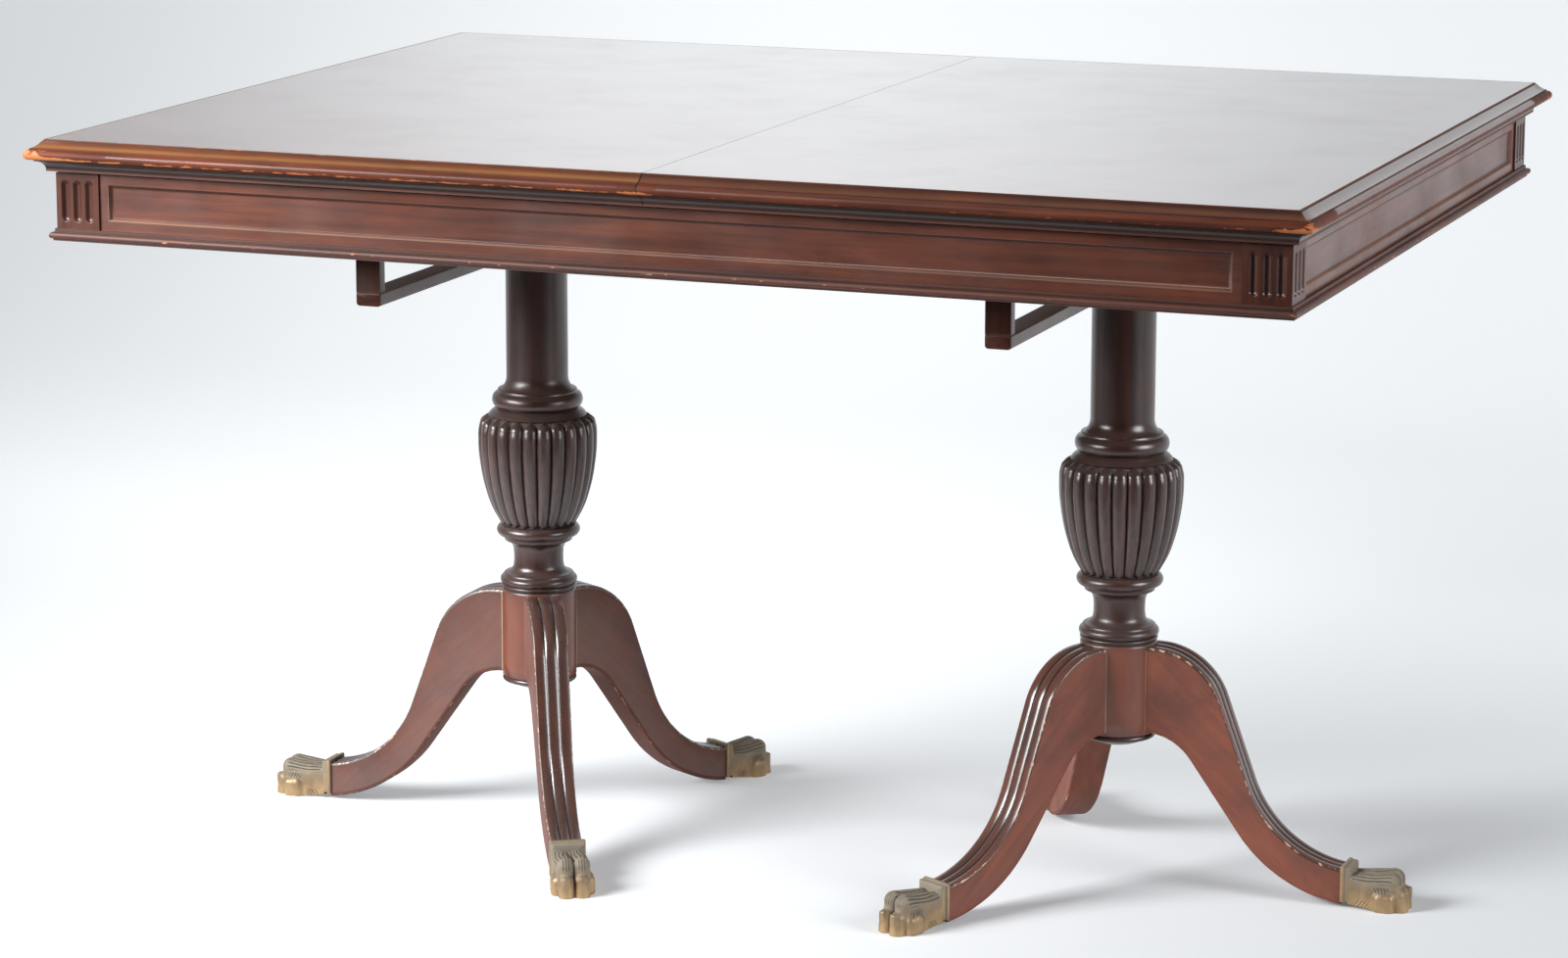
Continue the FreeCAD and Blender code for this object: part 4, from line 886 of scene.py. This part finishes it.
class TABLE_OT_columns(bpy.types.Operator):
    """Turn both columns and the buttons under their hubs"""
    bl_idname = "table.columns"
    bl_label = "Columns"

    def execute(self, context):
        finish = mahogany("column_polish", wear=0.2, tone=0.3, rough=0.34, upward_dust_and_sheen=0.16, patch=0.4, sheen=0.75,
                          tint=context.scene.table_finish.wood_hub_lit)
        turnings = (("column", "column", column_mesh), ("button", "hub_button", button_mesh))
        for name in PEDESTALS:
            for kind, node, make in turnings:
                mesh = make(name, pedestal_place(name))
                add_piece(f"turned_{kind}_{name}", mesh, "frame", "pedestal_mahogany", finish,
                          f"{node}_{name}")
        return {"FINISHED"}


# Legs

def edge_line(start, shape, end, count):
    """One edge of a leg from the hub: an arc over, a straight run and an opposite sweep to the foot.

    Returns evenly spaced points (distance out, height) in millimetres.
    """
    lean, turn, run, sweep = math.radians(shape["lean"]), shape["turn"], shape["run"], shape["sweep"]
    over = (start[0] + turn * math.sin(lean), start[1] - turn * (1 - math.cos(lean)))
    down = (over[0] + run * math.cos(lean), over[1] - run * math.sin(lean))
    centre = (down[0] + sweep * math.sin(lean), down[1] + sweep * math.cos(lean))
    foot = (end, centre[1] - math.sqrt(sweep ** 2 - (end - centre[0]) ** 2))
    line = np.array([start] + arc(start, over, -turn, 24) + [down] + arc(down, foot, sweep, 40))
    steps = np.concatenate(([0], np.cumsum(np.hypot(*np.diff(line, axis=0).T))))
    even = np.linspace(0, steps[-1], count)
    return np.column_stack((np.interp(even, steps, line[:, 0]), np.interp(even, steps, line[:, 1])))


def leg_section(half, sizes):
    """A leg's cross-section: (across, share of the height, lift, hollow, edge, dust), once round.

    The upper side has three reeds with round hollows between them.
    """
    ease, rim, steps = 2.2 * MM, 2.6 * MM, 48
    section = []
    for side, turns in ((-1, (180, 205, 230, 250, 270)), (1, (270, 290, 310, 335, 360))):
        for degrees in turns:
            turn = math.radians(degrees)
            rub = 0.85 if degrees in (205, 230, 310, 335) else 0.35
            section.append((side * (half - ease) + ease * math.cos(turn), 0.0, ease + ease * math.sin(turn),
                            0.0, rub, 0.0))
    crown = []
    for step in range(steps + 1):
        across = 1 - 2 * step / steps
        reed = (abs(across) * 3 + 1) % 2 - 1
        dip = 1 - math.sqrt(max(1 - (reed * 0.97) ** 2, 0.0))
        outer = abs(across) > 1 / 3 and reed > 0
        rub = 0.95 if abs(across) > 0.95 else 0.0
        # The crown is darkened all over and most in the valleys between the reeds, where it is painted shade
        crown.append((half * across, 1.0, -sizes.leg_reed_depth * dip * (0.7 if outer else 1.0),
                      0.6 if outer else 0.68 + 0.3 * dip, rub, 0.0 if outer else 0.3 * dip * dip))
    low, high = (0.0, ease + rim, 0.0, 0.05, 0.0), (1.0, crown[0][2] - rim, 0.0, 0.1, 0.0)
    return section + [(half, *low), (half, *high)] + crown + [(-half, *high), (-half, *low)]


def leg_mesh(name, place, turn):
    """A sabre leg with three reeds along its upper side."""
    sizes = bpy.context.scene.pedestal_sizes
    count, glue_rows, grain_fall = 104, 3, math.radians(43)
    seat = math.sqrt(sizes.hub ** 2 - (sizes.leg_root / 2) ** 2)
    roots = (seat - 4 * MM, seat - 0.2 * MM, seat + 0.9 * MM, seat + 1.0 * MM)
    upper, lower = (
        np.concatenate(([(x, start) for x in roots],
                        edge_line((shape["start"], start / MM), shape, sizes.leg_end / MM, count) * MM))
        for shape, start in ((LEG_UPPER, sizes.leg_top), (LEG_LOWER, sizes.leg_bottom)))
    # The underside starts nearer the axis, so its first points move out past the rows in the joint
    first = slice(len(roots), len(roots) + 4)
    lower[first, 0] = np.maximum(lower[first, 0], roots[-1] + 0.05 * MM * np.arange(1, 5))
    skin = Skin()
    for row, (top, bottom) in enumerate(zip(upper, lower)):
        part_out = (top[0] - seat) / (sizes.leg_end - seat)
        half = (sizes.leg_root + (sizes.leg_foot - sizes.leg_root) * min(max(part_out, 0), 1)) / 2
        up = (top - bottom) / np.hypot(*(top - bottom))
        near = max(1 - part_out * 5, part_out * 8 - 7, 0.0)
        section = leg_section(half, sizes)
        for across, rise, lift, hollow, edge, dust in section:
            base = bottom + (top - bottom) * rise + up * lift
            deposit_and_shade = 0.5 * near if rise and abs(across) < 0.95 * half else 0.0
            skin.add((base[0], across, base[1]), hollow=hollow, edge=edge, dust=dust + deposit_and_shade,
                     tint=1.0 if row < glue_rows else 0.0)
    points = np.array(skin.points)
    out, across, up = points.T
    cos, sin = math.cos(grain_fall), math.sin(grain_fall)
    grain = np.column_stack((out * cos - up * sin, across, out * sin + up * cos)) + turn * 0.017 + place
    spots = turned_about_z(points, turn) + np.array((place, 0, 0))
    faces = tube_faces(len(upper), len(section))
    return build_mesh(name, spots, faces, {"grain": grain, **skin.marks}, CARVED_SHARP)


def pedestal_place(name):
    """Where a column's axis stands along the table."""
    low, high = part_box(f"column_{name}")
    return (low.x + high.x) / 2


def leg_places():
    """Every leg's name with its column's place and its turn."""
    for name, (side, turn) in PEDESTALS.items():
        for where, degrees in LEG_TURNS.items():
            yield f"{name}_{where}", pedestal_place(name), turn + side * degrees


class TABLE_OT_legs(bpy.types.Operator):
    """Carve the six sabre legs"""
    bl_idname = "table.legs"
    bl_label = "Legs"

    def execute(self, context):
        finish = context.scene.table_finish
        polish = {}
        # Two lit copies of one polish: the right legs' wood is painted lighter, as lit from the right, and
        # the left legs' polish reflects more, for the sheen of the left lamp
        for side, tone, rough, sheen in (("left", 0.95, 0.58, 1.0), ("right", 1.5, 0.46, 0.6)):
            polish[side] = mahogany(f"leg_polish_lit_{side}", wear=0.47, tone=tone, rough=rough, soft=3.0,
                                    upward_dust_and_sheen=0.1, patch=0.7, shine=0.5, sheen=sheen, tint=finish.glue,
                                    bare=finish.wood_rubbed)
        for name, place, turn in leg_places():
            add_piece(f"sabre_leg_{name}", leg_mesh(name, place, turn), "frame", "pedestal_mahogany",
                      polish[name.split("_")[0]], f"leg_{name}")
        return {"FINISHED"}


# Paws

def round_box(spots, centre, half, radius):
    """Distance to a box with rounded edges."""
    away = np.abs(spots - np.array(centre)) - (np.array(half) - radius)
    outside = np.linalg.norm(np.maximum(away, 0), axis=1)
    return outside + np.minimum(away.max(axis=1), 0) - radius


def ramp(value, start, end):
    """A straight rise from 0 at start to 1 at end; start may be the larger one."""
    return np.clip((value - start) / (end - start), 0, 1)


def capsule(spots, start, end, first, last):
    """Distance to a rod whose radius runs from first to last."""
    start, end = np.array(start), np.array(end)
    along = end - start
    part = np.clip((spots - start) @ along / (along @ along), 0, 1)
    return np.linalg.norm(spots - start - part[:, None] * along, axis=1) - (first + (last - first) * part)


def joined(first, second, soft):
    """Smooth union of two distances."""
    blend = np.clip(0.5 + 0.5 * (second - first) / soft, 0, 1)
    return second * (1 - blend) + first * blend - soft * blend * (1 - blend)


# How far a paw's middle toes stand off its centre line and the pitch of its grid, in millimetres
PAW_MIDDLE = 7.9
PAW_GRID = 0.7
TOES = (
    # across, knuckle (out, radius, foot, head), toe (out, radius, head), in millimetres
    (PAW_MIDDLE, (286.4, 8.8, 10.0, 29.4), (294.4, 8.2, 15.6)),
    (14.6, (277.0, 6.4, 6.0, 15.0), (283.0, 7.2, 11.6)),
)


def paw_distance(spots):
    """Distance to the paw, in millimetres, in the leg's own frame; both sides of a paw are alike."""
    half = np.column_stack((spots[:, 0], np.abs(spots[:, 1]), spots[:, 2]))
    body = round_box(half, (258.0, 0.0, 16.0), (17.0, 16.8, 16.6), 3.0)
    ball = round_box(half, (272.0, 0.0, 13.0), (16.0, 17.4, 17.0), 6.0)
    instep = capsule(half, (246.0, 7.8, 26.5), (284.0, PAW_MIDDLE, 29.6), 8.0, 8.9)
    flank = round_box(half, (279.6, 14.6, 8.0), (11.2, 7.3, 11.4), 6.4)
    for form, soft in ((ball, 3.0), (instep, 2.0), (flank, 2.0)):
        body = joined(body, form, soft)
    for across, (out, thick, foot, head), (toe_out, toe_thick, toe_head) in TOES:
        knuckle = capsule(half, (out, across, foot), (out, across, head), thick, thick)
        toe = capsule(half, (toe_out, across, 0.0), (toe_out - 1.0, across, toe_head), toe_thick,
                      toe_thick * 0.95)
        body = joined(joined(body, knuckle, 2.0), toe, 1.2)
    nail = round_box(half, (299.6, PAW_MIDDLE, 16.0), (2.6, 4.0, 5.6), 2.4)
    body = joined(body, nail, 1.4)
    sole = (half[:, 0] - 276.0) * 0.13
    hair = paw_hair(spots) * ramp(spots[:, 2], 0.0, 3.0)
    return np.maximum(body + hair, -(half[:, 2] + np.minimum(sole, 0.0)))


def paw_hair(spots):
    """Depth of the hair strokes: over the instep, down the knuckles and low on the heel."""
    out, across, up = spots.T
    away = np.abs(across)

    def lines(phase):
        return np.clip(np.sin(phase), 0, 1)

    top = ramp(up, 26.0, 30.0) * ramp(out, 246.5, 248.5) * ramp(out, 290.0, 284.0)
    fan = np.arctan2(up - 26.0, away - 7.8) + 0.07 * np.sin((out - 246.0) * 0.17 + away * 0.3)
    strokes = np.clip(np.sin(fan * 17.0) * 1.5 - 0.5, 0, 1) * top
    tuft = np.exp(-((away - PAW_MIDDLE) / 6.0) ** 4) * ramp(out, 287.0, 291.0) * ramp(up, 25.0, 28.0)
    tuft = tuft * lines((away - PAW_MIDDLE) * 2.3 + 1.4)
    side = np.exp(-((up - 22.0) / 4.0) ** 2) * np.exp(-((out - 277.0) / 9.0) ** 4) * ramp(away, 13.0, 16.0)
    side = side * lines((out + up * 0.5) * 1.9)
    low = ramp(out, 249.0, 252.0) * ramp(out, 267.0, 263.0)
    low = low * ramp(up, 11.0, 8.0) * lines((out - up * 0.7) * 1.7)
    return 1.0 * strokes + 0.7 * tuft + 0.7 * side + 0.7 * low


def cell_shifts(axis):
    """The four cells round a grid line along an axis, in order round it."""
    one, two = np.eye(3, dtype=int)[[(axis + 1) % 3, (axis + 2) % 3]]
    return (0 * one, one, one + two, two)


def paw_points(step):
    """The sculpted paw as a skin over a grid of cells: points, faces, hollow, edge and line marks."""
    low, high = (243.0, -24.0, -2.0), (305.0, 24.0, 42.0)
    ticks = [np.arange(first, last, step) for first, last in zip(low, high)]
    spots = np.stack(np.meshgrid(*ticks, indexing="ij"), axis=-1)
    value = paw_distance(spots.reshape(-1, 3)).reshape(spots.shape[:3])
    total, count = np.zeros((*value.shape, 3)), np.zeros(value.shape)
    crossings = []
    for axis, way in enumerate(np.eye(3, dtype=int)):
        here = [slice(1, -1)] * 3
        there = list(here)
        there[axis] = slice(2, None)
        corners = np.argwhere((value[tuple(here)] < 0) != (value[tuple(there)] < 0)) + 1
        crossings.append(corners)
        one, two = value[tuple(corners.T)], value[tuple((corners + way).T)]
        places = spots[tuple(corners.T)] + np.outer(one / (one - two) * step, way)
        for shift in cell_shifts(axis):
            cells = tuple((corners - shift).T)
            np.add.at(total, cells, places)
            np.add.at(count, cells, 1)
    used = count > 0
    number = np.cumsum(used.ravel()).reshape(used.shape) - 1
    faces = []
    for axis, corners in enumerate(crossings):
        around = [number[tuple((corners - shift).T)] for shift in cell_shifts(axis)]
        faces += [tuple(face) for face in np.stack(around, axis=1).tolist()]
    points = total[used] / count[used][:, None]
    return points, faces, *paw_marks(points)


def paw_marks(points):
    """Hollow, edge and line marks of the paw; also sets its sole flat on the floor."""
    probe, crease_reach = 0.25, 2.4
    slope = np.column_stack([paw_distance(points + probe * way) - paw_distance(points - probe * way)
                             for way in np.eye(3)])
    normal = slope / np.maximum(np.linalg.norm(slope, axis=1), 1e-6)[:, None]
    crease = ramp(paw_distance(points + crease_reach * normal), crease_reach, crease_reach / 2)
    hair = paw_hair(points)
    hollow = np.clip(0.5 * hair + 0.6 * crease + 0.6 * ramp(points[:, 2], 6.0, 32.0), 0, 1)
    edge = ramp(points[:, 2], 20.0, 2.0)
    # Strokes and creases make the dark line mark, for grime and painted shade
    line = np.clip(0.75 * hair + 0.8 * crease, 0, 1)
    points[:, 2] = np.maximum(points[:, 2], 0.0)
    return hollow * (1 - 0.7 * edge), edge, line * (1 - 0.5 * edge)


def paw_collar():
    """The collar: a band round the leg's end with a raised rim, as rings of a rounded rectangle."""
    half, low, high, ease = 18.3, 5.6, 42.5, 1.6
    # Distance out, growth of the section and dirt
    rings = ((236.0, -2.0, 0.4), (236.0, -0.5, 0.3), (236.5, 0.0, 0.0), (239.2, 0.0, 0.0),
             (239.8, -0.5, 0.3), (240.0, -1.2, 0.8), (240.6, -1.3, 0.5), (244.4, -1.4, 0.1),
             (245.6, -2.2, 0.5), (246.4, -4.0, 0.9), (247.0, -9.0, 0.9))
    corner = [math.radians(degrees) for degrees in range(0, 91, 15)]
    points, hollow = [], []
    for out, grow, darkening in rings:
        reach, shrink = max(ease + grow, 0.2), min(ease + grow, 0.0)
        for side_y, side_z, first in ((1, -1, -90), (1, 1, 0), (-1, 1, 90), (-1, -1, 180)):
            middle_y = side_y * (half - ease + shrink)
            middle_z = (high - ease + shrink) if side_z > 0 else (low + ease)
            for turned in corner:
                turn = turned + math.radians(first)
                points.append((out, middle_y + reach * math.cos(turn), middle_z + reach * math.sin(turn)))
                hollow.append(min(darkening + (0.3 if side_z > 0 else 0.0), 1.0))
    return np.array(points), tube_faces(len(rings), 4 * len(corner)), np.array(hollow)


class TABLE_OT_paws(bpy.types.Operator):
    """Cast the six paw feet"""
    bl_idname = "table.paws"
    bl_label = "Paw feet"

    def execute(self, context):
        finish = paw_brass("paw_brass")
        spots, faces, hollow, edge, line = paw_points(PAW_GRID)
        collar, collar_faces, collar_hollow = paw_collar()
        faces = faces + [tuple(k + len(spots) for k in face) for face in collar_faces]
        points = np.concatenate((spots, collar)) * MM
        # The tint mark carries the dark lines of grime and painted shade, also in the collar's grooves
        marks = {"grain": points, "hollow": np.concatenate((hollow, collar_hollow)),
                 "edge": np.concatenate((edge, np.full(len(collar), 0.45))),
                 "tint": np.concatenate((line, collar_hollow * 0.3))}
        for name, place, turn in leg_places():
            placed = turned_about_z(points, turn) + np.array((place, 0, 0))
            mesh = build_mesh(name, placed, faces, marks, sharp=60.0)
            add_piece(f"paw_{name}", mesh, "frame", "paw_brass", finish, f"paw_foot_{name}")
        return {"FINISHED"}


# Rack and slides

def beam_mesh(name, low, high, ease, round_foot, grain_axis):
    """A beam between two corners with eased edges; its lower long edges may be rounder.

    The beam runs along the axis of its grain, x, y or z.
    """
    order = {"x": (0, 1, 2), "y": (1, 0, 2), "z": (2, 0, 1)}[grain_axis]
    low, high = np.array(low)[list(order)], np.array(high)[list(order)]
    section = []
    for side, level, first, radius in ((-1, -1, 180, round_foot), (1, -1, 270, round_foot), (1, 1, 0, ease),
                                       (-1, 1, 90, ease)):
        across = (high[1] - radius) if side > 0 else (low[1] + radius)
        up = (high[2] - radius) if level > 0 else (low[2] + radius)
        for degrees in range(first, first + 91, 15):
            turn = math.radians(degrees)
            section.append((across + radius * math.cos(turn), up + radius * math.sin(turn)))
    section = np.array(section)
    middle, span = (low[1:] + high[1:]) / 2, (high[1:] - low[1:]) / 2
    # Distance from an end, how far the section draws in and how rubbed it is
    ends = ((0.0, ease, 0.0), (0.3 * ease, 0.3 * ease, 0.7), (ease, 0.0, 0.4), (3 * ease, 0.0, 0.0))
    rings = [(low[0] + back, inset, rub) for back, inset, rub in ends]
    rings += [(high[0] - back, inset, rub) for back, inset, rub in ends[::-1]]
    columns = len(section)
    points = np.concatenate([
        np.column_stack((np.full(columns, along), middle + (section - middle) * (1 - inset / span)))
        for along, inset, rub in rings])
    edges = np.repeat([rub for along, inset, rub in rings], columns)
    marks = {"grain": points, "edge": edges, "tint": np.where(edges > 0.6, 0.8, 0.0)}
    return build_mesh(name, points[:, np.argsort(order)], tube_faces(len(rings), columns), marks)


class TABLE_OT_rack(bpy.types.Operator):
    """Make the rails and posts of the leaf rack"""
    bl_idname = "table.rack"
    bl_label = "Leaf rack"

    def execute(self, context):
        finish = context.scene.table_finish
        polish = mahogany("rack_polish", wear=0.45, tone=0.5, tint=finish.wood_light, bare=finish.wood_rubbed)
        ease = context.scene.table_sizes.arris
        for side in PEDESTALS:
            for where in ("front", "rear"):
                for kind, axis, foot in (("rail", "y", 4 * ease), ("post", "z", ease)):
                    node = f"rack_{kind}_{side}_{where}"
                    mesh = beam_mesh(node, *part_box(node), ease, foot, axis)
                    add_piece(f"leaf_{kind}_{side}_{where}", mesh, "frame", "rack_wood", polish, node)
        return {"FINISHED"}


class TABLE_OT_slides(bpy.types.Operator):
    """Finish the bearers, guides, runners and pins, whose solids are shown as they are"""
    bl_idname = "table.slides"
    bl_label = "Slides"

    def execute(self, context):
        finish = slide_wood("slide_wood")
        for name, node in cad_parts.items():
            if name.startswith(("bearer", "slide_guide", "right_runner", "left_runner", "seam_pins")):
                node.data.materials.clear()
                node.data.materials.append(finish)
        return {"FINISHED"}


# Stage

class TABLE_OT_stage(bpy.types.Operator):
    """Set up the floor, the lamps and the camera"""
    bl_idname = "table.stage"
    bl_label = "Stage"

    def execute(self, context):
        stage = context.scene.table_stage
        self.sweep(stage)
        self.world(context.scene)
        self.lamp("left_lamp", place=(-1.7, -1.75, 1.5), target=(-0.6, -0.4, 0.5), size=(1.4, 1.1),
                  spread=90, watts=stage.left_power)
        self.lamp("right_lamp", place=(3.4, -0.8, 1.6), target=(0.3, 0.0, 0.4), size=(1.6, 1.7),
                  spread=115, watts=stage.right_power)
        self.camera(context.scene, stage)
        context.scene.view_settings.view_transform = "Standard"
        return {"FINISHED"}

    def sweep(self, stage):
        """A floor that curves up into a backdrop."""
        front, back, side, height, bend = -7.0, 3.4, 7.0, 4.0, 1.2
        line = [(front, 0.0), (back - bend, 0.0)] + arc((back - bend, 0.0), (back, bend), bend, 16)
        line.append((back, height))
        mesh = bpy.data.meshes.new("sweep")
        mesh.from_pydata([(x, y, z) for y, z in line for x in (-side, side)], [], grid_faces(len(line), 2))
        mesh.shade_smooth()
        mesh.materials.append(self.paper(stage))
        sweep = bpy.data.objects.new("sweep", mesh)
        bpy.context.scene.collection.objects.link(sweep)

    def paper(self, stage):
        """Pale paper that glows with painted light for the camera and reflections, nearly white in the middle
        and greyer at both sides as painted shade; in front it is a darker floor that only the camera sees
        lit.
        """
        paint = Shader("stage_paper")
        place = paint.place()
        x, y, z = (paint.part(place, axis) for axis in "XYZ")
        camera = paint.ray("Is Camera Ray")
        cloud = paint.noise(place, 1.3, 3.0, 0.5)
        # In front the paper turns into a darker floor, which stands in for the unlit room in reflections
        near = paint.fit(y, -0.72, -1.15)
        aside = paint.fit(paint.math("ABSOLUTE", paint.add(x, 0.8)), 2.3, 3.2)
        tone = paint.mix(paint.fit(cloud, 0.35, 0.7), tuple(part * 0.97 for part in stage.paper), stage.paper)
        paint.give("Base Color", paint.mix(near, tone, stage.floor))
        paint.give("Roughness", 0.9)
        # The paper glows as painted light, brightest in the middle and towards the back, darker towards the
        # sides and the front as painted shade
        slant = paint.add(x, paint.times(y, 0.2))
        away = paint.math("ABSOLUTE", paint.add(slant, 0.75))
        fall = paint.times(paint.fit(away, 0.1, 1.45), paint.fit(z, 0.5, 1.1, 0.18, 0.37))
        level = paint.times(paint.fit(y, -0.2, 1.4, 0.26, 0.74), paint.fit(y, -1.2, -0.6, 0.15, 1.0))
        painted_glow = paint.most(paint.less(level, fall), 0.02)
        # Reflections see the painted light stronger, and the camera alone sees the front floor and the far
        # sides glowing light
        mirrored = paint.most(paint.times(paint.ray("Is Glossy Ray"), 1.35), paint.ray("Is Transmission Ray"))
        lift = paint.times(camera, paint.times(paint.most(near, aside), 0.5))
        paint.give("Emission Color", (0.95, 0.98, 1.0))
        paint.give("Emission Strength", paint.add(paint.times(paint.most(camera, mirrored), painted_glow), lift))
        self.open_from_behind(paint)
        return paint.material

    def open_from_behind(self, paint):
        """Let a camera behind the backdrop see through it."""
        paper, clear = paint.surface.outputs["BSDF"], paint.made("BsdfTransparent", {}, "BSDF")
        shown = paint.made("MixShader", {"Fac": paint.geometry("Backfacing"), 1: paper, 2: clear}, "Shader")
        paint.feed(paint.tree.nodes["Material Output"].inputs["Surface"], shown)

    def world(self, scene):
        """Soft light from behind and both sides, darker in front and overhead, where the room is."""
        scene.world = bpy.data.worlds.new("studio")
        scene.world.use_nodes = True
        sky = Nodes(scene.world.node_tree)
        way = sky.place("Generated")
        strength = sky.times(sky.fit(sky.part(way, "Y"), -0.9, -0.1, 0.05, 0.45),
                             sky.fit(sky.part(way, "Z"), 0.1, 0.9, 1.0, 0.35))
        background = sky.tree.nodes["Background"]
        sky.feed(background.inputs["Color"], (0.94, 0.97, 1.0))
        sky.feed(background.inputs["Strength"], sky.most(strength, sky.times(sky.ray("Is Camera Ray"), 0.8)))

    def lamp(self, name, place, target, size, spread, watts):
        """A soft rectangular lamp that faces its target; spread is in degrees."""
        lamp = bpy.data.lights.new(name, "AREA")
        lamp.shape = "RECTANGLE"
        lamp.size, lamp.size_y = size
        lamp.energy = watts
        lamp.spread = math.radians(spread)
        holder = bpy.data.objects.new(name, lamp)
        holder.location = place
        holder.rotation_euler = (Vector(target) - Vector(place)).to_track_quat("-Z", "Y").to_euler()
        holder.visible_camera = False
        bpy.context.scene.collection.objects.link(holder)

    def camera(self, scene, stage):
        """The camera at the photograph's viewing angle."""
        camera = bpy.data.cameras.new("camera")
        camera.sensor_width = FILM_WIDTH
        camera.lens = stage.camera_lens
        holder = bpy.data.objects.new("camera", camera)
        holder.location = stage.camera_place
        tilt = math.pi / 2 - stage.camera_elevation
        holder.rotation_euler = (tilt, stage.camera_roll, stage.camera_azimuth)
        scene.collection.objects.link(holder)
        scene.camera = holder


class VIEW3D_PT_dining_table(bpy.types.Panel):
    """Lists the steps that dress the table"""
    bl_label = "Dining Table"
    bl_space_type = "VIEW_3D"
    bl_region_type = "UI"
    bl_category = "Dining Table"

    def draw(self, context):
        column = self.layout.column()
        for step in STEPS:
            column.operator(step.bl_idname)


STEPS = (TABLE_OT_top, TABLE_OT_mouldings, TABLE_OT_apron, TABLE_OT_columns, TABLE_OT_legs, TABLE_OT_paws,
         TABLE_OT_rack, TABLE_OT_slides, TABLE_OT_stage)
SETTINGS = {"table_finish": TableFinish, "table_sizes": TableSizes, "pedestal_sizes": PedestalSizes,
            "table_stage": StageSettings}


def register():
    for item in (*SETTINGS.values(), *STEPS, VIEW3D_PT_dining_table):
        bpy.utils.register_class(item)
    for name, group in SETTINGS.items():
        setattr(bpy.types.Scene, name, PointerProperty(type=group))


def unregister():
    for name in SETTINGS:
        delattr(bpy.types.Scene, name)
    for item in reversed((*SETTINGS.values(), *STEPS, VIEW3D_PT_dining_table)):
        bpy.utils.unregister_class(item)


def main():
    register()
    bpy.ops.table.top()
    bpy.ops.table.mouldings()
    bpy.ops.table.apron()
    bpy.ops.table.columns()
    bpy.ops.table.legs()
    bpy.ops.table.paws()
    bpy.ops.table.rack()
    bpy.ops.table.slides()
    bpy.ops.table.stage()
    bpy.context.view_layer.update()


if __name__ == "__main__":
    main()
